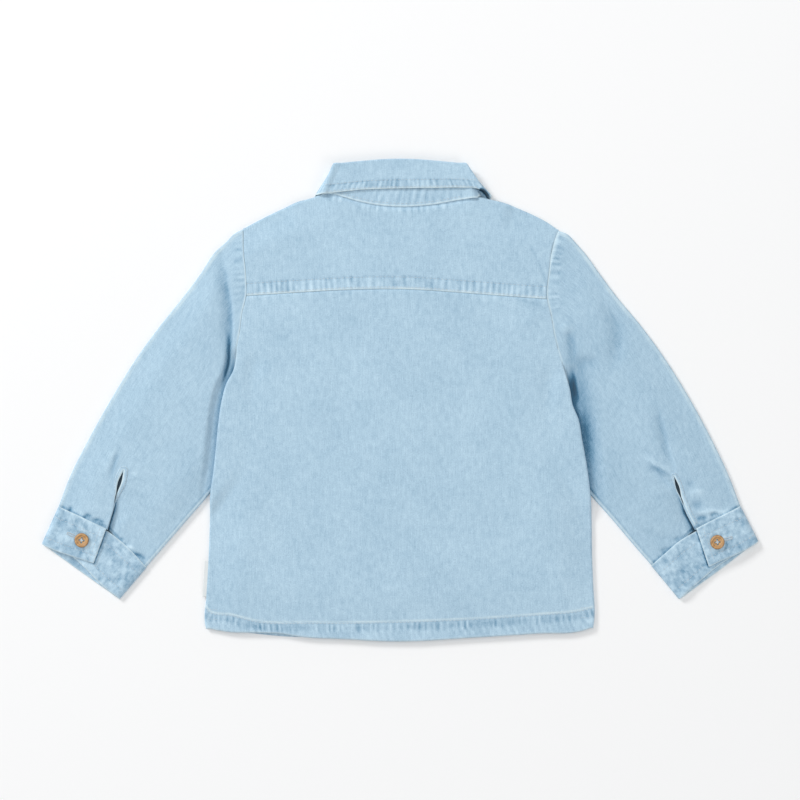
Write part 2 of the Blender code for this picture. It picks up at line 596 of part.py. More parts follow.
def hole_cutter(name):
    sides, spacing, radius = 6, 1.25, 0.75
    points, faces = [], []
    for sx, sy in ((1, 1), (1, -1), (-1, -1), (-1, 1)):
        start = len(points)
        for z in (-1.0, BUTTON_THICK + 1.0):
            for i in range(sides):
                a = i * 2 * math.pi / sides
                points.append((sx * spacing + radius * math.cos(a), sy * spacing + radius * math.sin(a), z))
        faces.append([start + i for i in reversed(range(sides))])
        faces.append([start + sides + i for i in range(sides)])
        for i in range(sides):
            j = (i + 1) % sides
            faces.append([start + i, start + j, start + sides + j, start + sides + i])
    cutter = mesh_object(name, points, faces, WOOD, 0.5)
    cutter.hide_render = True
    cutter.display_type = "WIRE"
    return cutter


def buttons():
    cuff_top = 5.1 + CUFF_WALL / 2 + 0.1
    for side, (x, y) in CUFF_BUTTONS.items():
        button("cuff_button_" + side, x, y, cuff_top, 1)
    for number, (x, y) in enumerate(FRONT_BUTTONS, start=1):
        button(f"front_button_{number}", x, y, BUTTON_THICK, -1)


def side_label():
    y = np.linspace(*LABEL_SIZE["y"], 5)
    edge = side_x(-1, y) - 0.5
    grid = [[(x - out, at, LABEL_SIZE["z"]) for x, at in zip(edge, y)] for out in (0, LABEL_SIZE["out"])]
    cloth("side_label", np.array(grid), wall=LABEL_SIZE["thick"], colour=LABEL)


def main():
    for item in list(bpy.data.objects):
        bpy.data.objects.remove(item)
    back_and_yoke()
    fronts()
    for word, side in (("left", -1), ("right", 1)):
        grid, opened = sleeve("sleeve_" + word, side)
        bindings("sleeve_binding_" + word, grid, opened, side)
    cuff("cuff_left", LEFT_CUFF)
    cuff("cuff_right", RIGHT_CUFF)
    collar()
    stand()
    buttons()
    side_label()


main()
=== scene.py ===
# Light denim shirt of a small child, lying face down with its sleeves spread.
# Lengths are in millimetres until a mesh is made: +X right, +Y towards the collar, +Z up.
import math

import bpy
import numpy as np
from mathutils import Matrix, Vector
from mathutils.bvhtree import BVHTree


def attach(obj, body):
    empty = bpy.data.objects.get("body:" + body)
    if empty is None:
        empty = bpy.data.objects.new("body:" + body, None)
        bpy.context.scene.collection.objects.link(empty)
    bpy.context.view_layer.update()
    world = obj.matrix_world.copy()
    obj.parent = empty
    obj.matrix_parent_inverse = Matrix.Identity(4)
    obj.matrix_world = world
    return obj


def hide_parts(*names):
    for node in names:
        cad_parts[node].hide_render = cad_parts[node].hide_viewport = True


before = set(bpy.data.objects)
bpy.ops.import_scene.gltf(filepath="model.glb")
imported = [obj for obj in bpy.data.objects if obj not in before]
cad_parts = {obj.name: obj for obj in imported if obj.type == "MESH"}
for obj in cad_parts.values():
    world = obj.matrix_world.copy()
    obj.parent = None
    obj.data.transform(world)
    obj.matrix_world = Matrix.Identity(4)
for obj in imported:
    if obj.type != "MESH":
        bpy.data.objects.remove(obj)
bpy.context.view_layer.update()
mm = 0.001

# camera, lights and floor
studio = dict(lens=85.0, sensor=36.0, distance=1.511, focusZ=0.004, world=0.50, top=17.0, side=104.0,
              fill=22.0, floor=(0.965, 0.97, 0.975), floorHalf=9.0)


def addObject(name, data, place=(0, 0, 0)):
    made = bpy.data.objects.new(name, data)
    made.location = place
    bpy.context.scene.collection.objects.link(made)
    return made


def meshObject(name, points, faces):
    mesh = bpy.data.meshes.new(name)
    mesh.from_pydata(points, [], faces)
    mesh.update()
    return addObject(name, mesh)


def makeStudio():
    cam = bpy.data.cameras.new("camera")
    cam.lens = studio["lens"]
    cam.sensor_width = studio["sensor"]
    cam.dof.use_dof = False
    bpy.context.scene.camera = addObject("camera", cam, (0, 0, studio["focusZ"] + studio["distance"]))
    world = bpy.data.worlds.new("softWorld")
    world.use_nodes = True
    sky = world.node_tree.nodes["Background"]
    sky.inputs["Color"].default_value = (1, 1, 1, 1)
    sky.inputs["Strength"].default_value = studio["world"]
    bpy.context.scene.world = world
    for name, place, size, power in (("topLight", (-0.3, 0.6, 2.8), 1.8, studio["top"]),
                                     ("sideLight", (-2.9, 2.6, 2.0), 1.0, studio["side"]),
                                     ("fillLight", (2.6, -2.4, 2.6), 1.6, studio["fill"])):
        light = bpy.data.lights.new(name, "AREA")
        light.size = size
        light.energy = power
        lamp = addObject(name, light, place)
        lamp.rotation_euler = (-Vector(place)).to_track_quat("-Z", "Y").to_euler()
    far = studio["floorHalf"]
    corners = [(-far, -far, 0), (far, -far, 0), (far, far, 0), (-far, far, 0)]
    floor = meshObject("floor", corners, [(0, 1, 2, 3)])
    paint = bpy.data.materials.new("paleFloor")
    paint.use_nodes = True
    shader = paint.node_tree.nodes["Principled BSDF"]
    shader.inputs["Base Color"].default_value = (*studio["floor"], 1)
    shader.inputs["Roughness"].default_value = 0.9
    floor.data.materials.append(paint)
    bpy.context.scene.view_settings.view_transform = "Standard"


makeStudio()
print("studio ready")

# the shirt as it lies: heights and outlines
cloth = dict(thick=0.8, rest=0.55, level=1.4, edgeRise=2.2, crown=5.0, centreCrown=0.7, sleeveUnder=2.9,
             edgeGap=0.12, rollReach=1.5, buttonLift=2.2, placketHalf=12.0, sideReach=30, hemReach=45,
             shoulderReach=26)
shoulderAndNeck = [
    (-125.6, 136.8), (-116.0, 142.0), (-96.8, 151.6), (-85.6, 156.4), (-74.0, 160.6), (-68.0, 162.4),
    (-64.0, 164.2), (-54.2, 165.6), (-46.0, 163.4), (-37.4, 160.8), (-17.1, 156.6), (3.0, 155.4),
    (26.6, 157.1), (49.1, 161.0), (62.0, 162.4), (74.0, 160.0), (86.4, 156.4), (98.4, 151.6),
    (117.6, 142.0), (126.8, 135.6)]
frontNeck = [
    (-125.6, 136.8), (-96.8, 151.6), (-74.0, 160.4), (-66.0, 160.2), (-61.0, 157.0), (-53.6, 147.6),
    (-40.2, 128.6), (-22.6, 113.8), (-9.0, 108.4), (0.0, 107.4), (9.0, 108.4), (22.6, 113.8),
    (40.2, 128.6), (53.6, 147.6), (61.0, 157.0), (66.0, 159.9), (74.0, 159.8), (98.4, 151.6),
    (126.8, 135.6)]
yokeSeam = [(-127.0, 83.2), (-80.0, 86.2), (-48.0, 88.0), (-12.0, 88.9), (8.0, 88.6), (40.0, 86.6),
            (80.0, 83.6), (122.0, 80.6)]
backHem = [
    (-155.4, -182.6), (-137.6, -185.6), (-112.0, -186.3), (-96.0, -186.9), (-82.3, -189.2),
    (-44.8, -191.4), (-6.0, -193.2), (62.4, -190.0), (109.4, -187.0), (148.0, -184.2), (154.8, -181.8)]
frontHem = [(-155.2, -182.4), (-112.0, -187.6), (-96.0, -189.2), (-82.0, -189.9), (-45.0, -190.6),
            (0.0, -191.4), (62.0, -188.6), (110.0, -185.6), (154.6, -181.4)]
# y, x down each side: armhole, underarm, side edge
leftSide = [
    (136.8, -125.6), (116.4, -124.8), (101.2, -123.4), (83.2, -123.2), (69.2, -126.5), (57.2, -128.0),
    (43.6, -130.4), (26.5, -132.4), (22.2, -133.8), (12.9, -138.9), (0.7, -142.4), (-17.8, -145.3),
    (-39.3, -147.4), (-59.3, -149.6), (-73.5, -151.6), (-96.4, -152.2), (-129.2, -153.4),
    (-158.0, -155.1), (-178.6, -156.2), (-182.6, -155.4)]
rightSide = [
    (135.6, 126.8), (123.6, 122.3), (103.6, 119.4), (80.8, 117.8), (69.2, 120.6), (50.8, 123.9),
    (30.8, 129.4), (14.0, 134.4), (9.2, 135.8), (-5.0, 138.4), (-15.0, 142.6), (-32.1, 145.8),
    (-52.1, 149.4), (-75.0, 152.3), (-128.4, 153.9), (-146.0, 154.6), (-177.7, 155.4), (-181.8, 154.8)]
# sleeve stations from armhole to cuff: folded outer edge, underarm edge
leftSleeve = [
    ((-125.6, 136.8), (-132.4, 26.5)), ((-133.2, 132.8), (-132.1, 19.0)), ((-138.4, 127.2), (-131.8, 13.5)),
    ((-147.2, 119.4), (-131.0, 5.0)), ((-160.0, 100.6), (-130.6, -5.5)), ((-172.8, 83.6), (-130.0, -16.0)),
    ((-192.0, 59.6), (-131.0, -36.0)), ((-209.6, 35.6), (-138.0, -56.0)), ((-232.0, -0.4), (-151.6, -73.8)),
    ((-252.0, -36.4), (-171.0, -96.4)), ((-264.0, -60.4), (-189.0, -117.2)),
    ((-273.2, -84.4), (-202.6, -132.9))]
rightSleeve = [
    ((126.8, 135.6), (134.4, 14.0)), ((134.6, 132.4), (133.8, 7.5)), ((139.6, 127.0), (133.2, 2.5)),
    ((146.4, 119.4), (132.0, -5.0)), ((160.0, 100.8), (131.2, -13.5)), ((172.8, 83.6), (130.5, -22.0)),
    ((192.8, 59.6), (131.5, -40.0)), ((210.4, 35.6), (138.0, -58.0)), ((232.8, -0.4), (152.4, -75.6)),
    ((252.0, -36.4), (172.0, -98.0)), ((263.2, -60.4), (188.0, -117.0)), ((272.4, -84.4), (201.0, -131.8))]
leftSlit = [(-221.0, -56.4), (-225.4, -70.0), (-228.8, -82.0), (-234.6, -101.6)]
rightSlit = [(219.0, -61.0), (224.0, -76.0), (229.0, -88.0), (236.2, -101.8)]
# share of the sleeve's width, and how far the cuff seam bows out of a straight line
leftCuffSeam = [(0.0, 0.3), (0.22, 3.1), (0.36, 5.0), (0.5, 6.9), (0.68, 5.0), (0.86, 2.2), (1.0, 0.3)]
rightCuffSeam = [(0.0, 0.3), (0.23, 2.4), (0.46, 5.0), (0.66, 3.7), (0.84, 1.8), (1.0, 0.3)]
frontButtons = [(0.0, 119.0), (0.0, 76.0), (0.0, 30.0), (0.0, -16.0), (0.0, -62.0), (0.0, -108.0)]
# by side: -1 is the left one and 1 the right one
cuffButtons = {-1: (-254.2, -112.0), 1: (253.4, -113.5)}
sideNames = {-1: "Left", 1: "Right"}
sideEdges = {-1: leftSide, 1: rightSide}
sleeveEdges = {-1: leftSleeve, 1: rightSleeve}
slits = {-1: leftSlit, 1: rightSlit}


def fade(share):
    share = np.clip(share, 0, 1)
    return share * share * (3 - 2 * share)


def curve(table, at):
    # second column of a table at values of its first, rounded between its rows
    table = sorted(table)
    keys, values = (np.array(column, float) for column in zip(*table))
    slopes = np.gradient(values, keys)
    at = np.clip(np.asarray(at, float), keys[0], keys[-1])
    row = np.clip(np.searchsorted(keys, at) - 1, 0, len(keys) - 2)
    span = keys[row + 1] - keys[row]
    t = (at - keys[row]) / span
    return (values[row] * (1 + 2 * t) * (1 - t) ** 2 + values[row + 1] * t * t * (3 - 2 * t)
            + span * (slopes[row] * t * (1 - t) ** 2 - slopes[row + 1] * t * t * (1 - t)))


def along(points, share):
    # points at shares of the length of a smooth line
    points = np.array(points, float)
    steps = np.linalg.norm(np.diff(points, axis=0), axis=1)
    keys = np.concatenate([[0], np.cumsum(steps)]) / steps.sum()
    return np.stack([curve(list(zip(keys, column)), share) for column in points.T], axis=-1)


def toLine(x, y, line):
    # signed distance to a line (left of its direction is positive) and the length along it
    best = np.full(np.shape(x), 1e9)
    gone = np.zeros(np.shape(x))
    signed = np.zeros(np.shape(x))
    start = 0.0
    for (ax, ay), (bx, by) in zip(line[:-1], line[1:]):
        wx, wy = bx - ax, by - ay
        size = math.hypot(wx, wy)
        t = np.clip(((x - ax) * wx + (y - ay) * wy) / size ** 2, 0, 1)
        dx, dy = x - ax - t * wx, y - ay - t * wy
        distance = np.hypot(dx, dy)
        near = distance < best
        best = np.where(near, distance, best)
        gone = np.where(near, start + t * size, gone)
        signed = np.where(near, np.where(wx * dy - wy * dx >= 0, distance, -distance), signed)
        start += size
    return signed, gone, start


def rough(seed, x, y=0.0):
    # smooth uneven values from -1 to 1, about one unit apart
    table = np.random.default_rng(seed).uniform(-1, 1, (97, 97))
    x, y = np.broadcast_arrays(np.asarray(x, float), np.asarray(y, float))
    ix, iy = np.floor(x).astype(int), np.floor(y).astype(int)
    fx, fy = fade(x - ix), fade(y - iy)
    pick = lambda i, j: table[i % 97, j % 97]
    low = pick(ix, iy) * (1 - fx) + pick(ix + 1, iy) * fx
    high = pick(ix, iy + 1) * (1 - fx) + pick(ix + 1, iy + 1) * fx
    return low * (1 - fy) + high * fy


def dense(line, step=2.0):
    # a smooth line through a few points, cut into short steps
    length = np.linalg.norm(np.diff(np.array(line, float), axis=0), axis=1).sum()
    return [tuple(p) for p in along(line, np.linspace(0, 1, max(3, int(length / step))))]


print("tools ready")

# colours of the denim from deep to pale, of its worn edges and of the painted shade in its darkest folds, and
# each pattern's share
denimLook = dict(deep=(0.238, 0.404, 0.553), pale=(0.655, 0.855, 0.990), worn=(0.85, 0.98, 1.0),
                 gloom=(0.03, 0.055, 0.085), lowest=-0.42, tone=0.62, roughness=0.86, bump=0.35,
                 twill=0.12, grain=0.72, slub=0.5, mottle=0.5, cloud=0.34)
threadLook = dict(colour=(0.60, 0.69, 0.75), dark=(0.47, 0.58, 0.66), roughness=0.7)
woodLook = dict(deep=(0.33, 0.159, 0.053), pale=(0.73, 0.457, 0.216), roughness=0.42)
labelLook = dict(colour=(0.84, 0.87, 0.87), shade=(0.70, 0.75, 0.77), roughness=0.8)
# the inside of the sleeves, seen through their openings, is painted deep navy: painted shade
shadedInsideLook = dict(denimLook, deep=(0.05, 0.09, 0.14), pale=(0.20, 0.30, 0.38), lowest=0.0)
materials = {}


def newMaterial(name):
    made = bpy.data.materials.new(name)
    made.use_nodes = True
    materials[name] = made
    return made.node_tree, made.node_tree.nodes["Principled BSDF"]


def addNode(tree, kind, links=(), **values):
    node = tree.nodes.new(kind)
    for key, value in values.items():
        if hasattr(node, key):
            setattr(node, key, value)
        else:
            node.inputs[key].default_value = value
    for slotName, source in links:
        tree.links.new(source, node.inputs[slotName])
    return node


def mathNode(tree, operation, first, second):
    node = tree.nodes.new("ShaderNodeMath")
    node.operation = operation
    for place, value in enumerate((first, second)):
        if isinstance(value, (int, float)):
            node.inputs[place].default_value = value
        else:
            tree.links.new(value, node.inputs[place])
    return node.outputs[0]


def weighted(tree, source, weight, base):
    return mathNode(tree, "ADD", mathNode(tree, "MULTIPLY", source, weight), base)


def limited(tree, value, low, high):
    return mathNode(tree, "MINIMUM", mathNode(tree, "MAXIMUM", value, low), high)


def mixColour(tree, share, first, second, clamped=True):
    node = tree.nodes.new("ShaderNodeMix")
    node.data_type = "RGBA"
    node.clamp_factor = clamped
    tree.links.new(share, node.inputs[0])
    for place, value in ((6, first), (7, second)):
        if isinstance(value, tuple):
            node.inputs[place].default_value = (*value, 1)
        else:
            tree.links.new(value, node.inputs[place])
    return node.outputs[2]


def finishLook(tree, shader, colour, roughness, height, strength, distance):
    # joins up a surface's colour, roughness and fine relief
    tree.links.new(colour, shader.inputs["Base Color"])
    shader.inputs["Roughness"].default_value = roughness
    bump = addNode(tree, "ShaderNodeBump", [("Height", height)], Strength=strength, Distance=distance)
    tree.links.new(bump.outputs[0], shader.inputs["Normal"])


def makeDenim(name, look):
    tree, shader = newMaterial(name)
    uv = addNode(tree, "ShaderNodeUVMap", uv_map="clothUV").outputs[0]

    def noiseAt(scale, detail, roughness=0.6):
        place = addNode(tree, "ShaderNodeMapping", [("Vector", uv)], Scale=scale).outputs[0]
        return addNode(tree, "ShaderNodeTexNoise", [("Vector", place)], Scale=1.0, Detail=detail,
                       Roughness=roughness).outputs[0]

    twill = addNode(tree, "ShaderNodeTexWave", [("Vector", uv)], wave_type="BANDS",
                    bands_direction="DIAGONAL", Scale=850.0, Distortion=1.6, Detail=2.0).outputs[1]
    grain = noiseAt((1150, 850, 1), 2.0, 0.7)
    slub = noiseAt((1050, 90, 1), 3.0)
    mottle = noiseAt((230, 190, 1), 3.0)
    cloud = noiseAt((26, 22, 1), 3.0)
    share = 0.5
    for source, weight in ((twill, look["twill"]), (grain, look["grain"]), (slub, look["slub"]),
                           (mottle, look["mottle"]), (cloud, look["cloud"])):
        share = weighted(tree, mathNode(tree, "SUBTRACT", source, 0.5), weight, share)
    # the tone attribute lightens or darkens the cloth: random tone, seam roping, and painted shade and
    # highlight in folds, grooves and under lapping parts
    tone = addNode(tree, "ShaderNodeAttribute", attribute_name="tone").outputs["Fac"]
    share = weighted(tree, tone, look["tone"], share)
    # strong shade in the folds goes below the deep colour, then towards navy
    dark = mathNode(tree, "MULTIPLY", mathNode(tree, "SUBTRACT", -0.12, share), 1.1)
    share = limited(tree, share, look["lowest"], 1.0)
    colour = mixColour(tree, share, look["deep"], look["pale"], clamped=False)
    colour = mixColour(tree, limited(tree, dark, 0.0, 0.85), colour, look["gloom"])
    wear = addNode(tree, "ShaderNodeAttribute", attribute_name="wear").outputs["Fac"]
    worn = mathNode(tree, "MULTIPLY", wear, weighted(tree, grain, 0.7, 0.55))
    colour = mixColour(tree, worn, colour, look["worn"])
    shader.inputs["Specular IOR Level"].default_value = 0.25
    shader.inputs["Sheen Weight"].default_value = 0.12
    shader.inputs["Sheen Roughness"].default_value = 0.5
    relief = weighted(tree, slub, 0.5, weighted(tree, twill, 0.5, grain))
    finishLook(tree, shader, colour, look["roughness"], relief, look["bump"], 0.0004)


def makeThread():
    tree, shader = newMaterial("thread")
    place = addNode(tree, "ShaderNodeTexCoord").outputs["Object"]
    twist = addNode(tree, "ShaderNodeTexNoise", [("Vector", place)], Scale=900.0, Detail=2.0).outputs[0]
    colour = mixColour(tree, twist, threadLook["dark"], threadLook["colour"])
    shader.inputs["Sheen Weight"].default_value = 0.2
    finishLook(tree, shader, colour, threadLook["roughness"], twist, 0.3, 0.0002)


def makeWood():
    tree, shader = newMaterial("wood")
    place = addNode(tree, "ShaderNodeTexCoord").outputs["Object"]
    stretched = addNode(tree, "ShaderNodeMapping", [("Vector", place)], Scale=(220, 1400, 300)).outputs[0]
    fibre = addNode(tree, "ShaderNodeTexNoise", [("Vector", stretched)], Scale=1.0, Detail=4.0).outputs[0]
    ringed = addNode(tree, "ShaderNodeTexWave", [("Vector", place)], wave_type="BANDS", bands_direction="Y",
                     Scale=95.0, Distortion=6.0, Detail=2.0).outputs[1]
    share = weighted(tree, fibre, 0.75, mathNode(tree, "MULTIPLY", ringed, 0.3))
    # darker on the rounded edge and in a ring at the foot of the raised rim
    rimDarkening = addNode(tree, "ShaderNodeAttribute", attribute_name="rim").outputs["Fac"]
    colour = mixColour(tree, mathNode(tree, "SUBTRACT", share, rimDarkening), woodLook["deep"], woodLook["pale"])
    finishLook(tree, shader, colour, woodLook["roughness"], fibre, 0.2, 0.0002)


def makeLabelTape():
    tree, shader = newMaterial("label")
    place = addNode(tree, "ShaderNodeUVMap", uv_map="clothUV").outputs[0]
    ribs = addNode(tree, "ShaderNodeTexWave", [("Vector", place)], wave_type="BANDS", bands_direction="Y",
                   Scale=500.0, Distortion=0.3).outputs[1]
    colour = mixColour(tree, ribs, labelLook["shade"], labelLook["colour"])
    finishLook(tree, shader, colour, labelLook["roughness"], ribs, 0.3, 0.0002)


makeDenim("denim", denimLook)
makeDenim("denimShadedInside", shadedInsideLook)
makeThread()
makeWood()
makeLabelTape()
print("materials ready")


def stripe(distance, width, at=0.0):
    # 1 along a line, or at some distance from it, fading to both sides
    return np.exp(-(((np.abs(distance) - at) / width) ** 2))


def fold(line, left, right, high, tone=0.0, tail=0.4, open=0.0):
    # a soft fold: its line, reach to its left and right, height, tone (painted shade where negative, painted
    # highlight where positive), and how its ends fade
    return dict(line=line, left=left, right=right, high=high, tone=tone, tail=tail, open=open)


# soft folds of the back
bodyCreases = [
    fold([(33, 151), (74, 150), (112, 141)], 3.0, 6.0, 0.55),
    fold([(-108, 60), (-100, 0), (-96, -40)], 14, 14, 0.4),
    fold([(84, 66), (96, 10), (104, -30)], 14, 14, 0.4),
    fold([(-60, 150), (-20, 142), (24, 143)], 8, 8, -0.25),
    fold([(-122, 74), (-104, 62), (-86, 64)], 5, 7, 0.3),
    fold([(116, 72), (98, 60), (80, 66)], 5, 7, 0.3),
    fold([(-40, 70), (-46, 10), (-38, -60)], 18, 16, -0.3),
    fold([(38, 60), (44, -10), (36, -80)], 18, 20, -0.25),
    fold([(-126, -40), (-116, -96), (-124, -150)], 12, 12, 0.35),
    fold([(124, -50), (112, -104), (122, -156)], 12, 12, 0.35),
    fold([(-20, -120), (30, -132), (80, -124)], 14, 12, 0.25),
]


def creases(x, y, table):
    total = np.zeros(np.shape(x))
    for one in table:
        distance, gone, length = toLine(x, y, dense(one["line"], 6.0))
        width = np.where(distance > 0, one["left"], one["right"])
        taper = fade(gone / length / one["tail"]) * fade((1 - gone / length) / one["tail"])
        taper = np.maximum(taper, one["open"])
        total += one["high"] * taper * stripe(distance, width)
    return total


def sideX(side, y):
    return curve(sideEdges[side], y)


def underarm(side):
    return sleeveEdges[side][0][1][1]


def bodyOverSleeve(x, y):
    lift = np.zeros(np.shape(x))
    for side, table in sleeveEdges.items():
        edge = curve([inner[::-1] for _, inner in table], y) * side
        lift = np.maximum(lift, fade((x * side - edge + 19) / 14) * fade((underarm(side) + 22 - y) / 16))
    return cloth["sleeveUnder"] * lift


def collarLift(x, y):
    # the fronts lie on the collar's front leaves
    lift = np.zeros(np.shape(x))
    for share in np.linspace(0, 1, 9):
        start = along([row["roll"] for row in collarRows[:6]], share)
        end = along([row["edge"] for row in collarRows[:6]], share)
        distance, _, _ = toLine(np.abs(x), y, [tuple(start), tuple(end)])
        lift = np.maximum(lift, fade((22 - np.abs(distance)) / 9))
    return cloth["level"] * lift


def buttonLift(x, y):
    low = frontButtons[-1][1]
    return cloth["buttonLift"] * fade((30 - np.abs(x)) / 12) * fade((y - low + 24) / 12)


def lowerHeight(x, y, layer=0.0):
    lift = np.maximum(np.maximum(bodyOverSleeve(x, y), collarLift(x, y)), buttonLift(x, y))
    return cloth["rest"] + lift + cloth["level"] * layer


def upperHeight(x, y):
    # the back rises from its edges to a low crown
    beside = np.minimum(x - sideX(-1, y), sideX(1, y) - x)
    pastArm = fade((np.where(x < 0, underarm(-1), underarm(1)) + 14 - y) / 14)
    inside = 1 - (1 - fade(beside / cloth["sideReach"])) * pastArm
    inside = inside * (0.25 + 0.75 * fade((y - curve(backHem, x)) / cloth["hemReach"]))
    shoulder = fade((curve(shoulderAndNeck, x) - y) / cloth["shoulderReach"])
    inside = inside * (1 - (1 - shoulder) * fade((np.abs(x) - 52) / 16))
    under = lowerHeight(x, y)
    crown = cloth["crown"] + cloth["centreCrown"] * np.exp(-((x / 60) ** 2))
    height = under + cloth["edgeRise"] + (crown - under - cloth["edgeRise"]) * inside
    height = height + creases(x, y, bodyCreases) * inside
    lapped = fade((34 - x) / 14) * fade((34 + x) / 14)
    return np.maximum(height, under + cloth["level"] * (1.05 + lapped))


labelParts = dict(low=-157.6, high=-129.0, z=1.7, apart=0.26, thick=0.36)

# stations round the collar from the neck's front to the centre back
collarRows = [
    dict(seam=(9.0, 109.0), top=(7.0, 128.8), roll=(6.5, 133.2), edge=(42.0, 99.0), z=1.95, leaf=0.62),
    dict(seam=(23.0, 115.2), top=(16.5, 134.0), roll=(15.0, 138.4), edge=(52.0, 110.0), z=1.95, leaf=0.62),
    dict(seam=(40.0, 130.8), top=(29.5, 147.6), roll=(27.0, 152.0), edge=(61.0, 127.0), z=1.95, leaf=0.62),
    dict(seam=(54.0, 149.2), top=(42.0, 165.0), roll=(39.0, 169.6), edge=(67.6, 144.4), z=1.95, leaf=0.62),
    dict(seam=(61.6, 159.2), top=(50.6, 175.6), roll=(48.4, 181.0), edge=(71.2, 159.4), z=2.1, leaf=0.66),
    dict(seam=(64.0, 163.4), top=(54.6, 180.2), roll=(53.0, 186.8), edge=(72.4, 164.4), z=3.5, leaf=3.5),
    dict(seam=(62.0, 162.8), top=(53.8, 180.6), roll=(53.2, 188.6), edge=(69.2, 167.0), z=4.9, leaf=6.6),
    dict(seam=(52.0, 161.6), top=(44.5, 180.6), roll=(45.6, 189.5), edge=(60.0, 168.4), z=5.2, leaf=6.9),
    dict(seam=(39.0, 159.2), top=(34.0, 180.4), roll=(36.0, 190.5), edge=(46.0, 169.6), z=5.3, leaf=7.0),
    dict(seam=(26.0, 157.2), top=(22.5, 180.3), roll=(24.0, 191.6), edge=(31.0, 170.8), z=5.3, leaf=7.0),
    dict(seam=(13.0, 155.9), top=(11.2, 180.3), roll=(12.0, 192.5), edge=(15.5, 170.6), z=5.3, leaf=7.0),
    dict(seam=(0.0, 155.6), top=(0.0, 180.3), roll=(0.0, 192.8), edge=(0.0, 170.3), z=5.3, leaf=7.0)]


def panel(rows, columns, leftX, rightX, topY, bottomY):
    v, u = rows[:, None], columns[None, :]
    ends = np.array([-125.0, 125.0])
    topLeft, topRight = leftX(topY(ends))[0], rightX(topY(ends))[1]
    lowLeft, lowRight = leftX(bottomY(ends * 1.2))[0], rightX(bottomY(ends * 1.2))[1]
    top = topY(topLeft + (topRight - topLeft) * u)
    bottom = bottomY(lowLeft + (lowRight - lowLeft) * u)
    y = top + (bottom - top) * v
    left, right = leftX(y[:, :1]), rightX(y[:, -1:])
    return left + (right - left) * u, y


def rolled(grid, drop, reach, angles=(86, 72, 58, 44, 30, 15)):
    # adds lines before a grid's first row that turn its edge by drop
    edge = grid[0]
    tangent = np.gradient(edge[:, :2], axis=0)
    out = np.stack([-tangent[:, 1], tangent[:, 0]], axis=1)
    out /= np.linalg.norm(out, axis=1)[:, None]
    inward = grid[1, :, :2] - edge[:, :2]
    out *= -np.sign(np.sum(out * inward, axis=1))[:, None]
    lines = []
    for angle in np.radians(angles):
        line = edge.copy()
        line[:, :2] += out * reach * math.sin(angle)
        line[:, 2] -= drop * (1 - math.cos(angle))
        lines.append(line)
    return np.concatenate([np.array(lines), grid])


def sideGap(side, y):
    # the side seam opens a little round its label
    label = fade((y - labelParts["low"] + 7) / 5) * fade((labelParts["high"] + 7 - y) / 5)
    return cloth["edgeGap"] + 1.0 * label * (side < 0)


def rollSides(grid, sides, direction):
    for side in sides:
        turned = grid[:, ::side * -1].transpose(1, 0, 2)
        x, y = turned[0, :, 0], turned[0, :, 1]
        free = fade((underarm(side) + 2 - y) / 8)
        apart = upperHeight(x, y) - lowerHeight(x, y)
        drop = direction * (free * (apart - sideGap(side, y)) / 2 + (1 - free) * 0.35)
        grid = rolled(turned, drop, cloth["rollReach"]).transpose(1, 0, 2)[:, ::side * -1]
    return grid


def rollShoulder(grid, direction):
    x, y = grid[0, :, 0], grid[0, :, 1]
    free = fade((np.abs(x) - 62) / 6)
    apart = upperHeight(x, y) - lowerHeight(x, y)
    return rolled(grid, direction * free * (apart - cloth["edgeGap"]) / 2, cloth["rollReach"])


def makeShell(name, grid, node, uv=None, marks=(), thick=cloth["thick"], ringRows=0, material="denim",
              inside=None, side=-1):
    # a thin wall on a grid of middle-surface points; marks are named values per point
    rows, columns = grid.shape[:2]
    grid[..., 2] = np.maximum(grid[..., 2], thick / 2 + 0.02)
    index = np.arange(rows * columns).reshape(rows, columns)
    index[:ringRows, -1] = index[:ringRows, 0]
    faces = np.stack([index[:-1, :-1], index[:-1, 1:], index[1:, 1:], index[1:, :-1]], axis=-1)
    used, faces = np.unique(faces.reshape(-1, 4), return_inverse=True)
    points = grid.reshape(-1, 3)[used] * mm
    piece = meshObject(name, points.tolist(), faces.reshape(-1, 4).tolist())
    mesh = piece.data
    uv = grid[..., :2] if uv is None else uv
    flat = (uv.reshape(-1, 2)[used] * mm).astype(np.float32)
    layer = mesh.uv_layers.new(name="clothUV")
    corners = np.zeros(len(mesh.loops), np.int32)
    mesh.loops.foreach_get("vertex_index", corners)
    layer.data.foreach_set("uv", flat[corners].reshape(-1))
    for key, values in dict(marks).items():
        spot = mesh.attributes.new(key, "FLOAT", "POINT")
        spot.data.foreach_set("value", np.asarray(values, np.float32).reshape(-1)[used])
    wall = piece.modifiers.new("wall", "SOLIDIFY")
    wall.thickness = thick * mm
    wall.offset = 0
    mesh.shade_smooth()
    looks = [material]
    # on the sleeves the other face takes the dark inside denim, which is painted shade
    if inside:
        looks = [material, inside] if side < 0 else [inside, material]
        wall.material_offset = 1
    for look in looks:
        mesh.materials.append(materials[look])
    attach(piece, "root")
    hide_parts(node)
    return piece


def uneven(length, step, fine=()):
    # shares of a length with even steps, finer near some places: (place, reach, step)
    s = np.linspace(0, length, int(length * 8) + 2)
    crowd = np.full(s.shape, 1.0 / step)
    for place, reach, small in fine:
        crowd = np.maximum(crowd, np.where(np.abs(s - place) < reach, 1.0 / small, 0))
    total = np.concatenate([[0], np.cumsum((crowd[1:] + crowd[:-1]) / 2 * np.diff(s))])
    count = int(math.ceil(total[-1]))
    return np.interp(np.linspace(0, total[-1], count + 1), total, s) / length


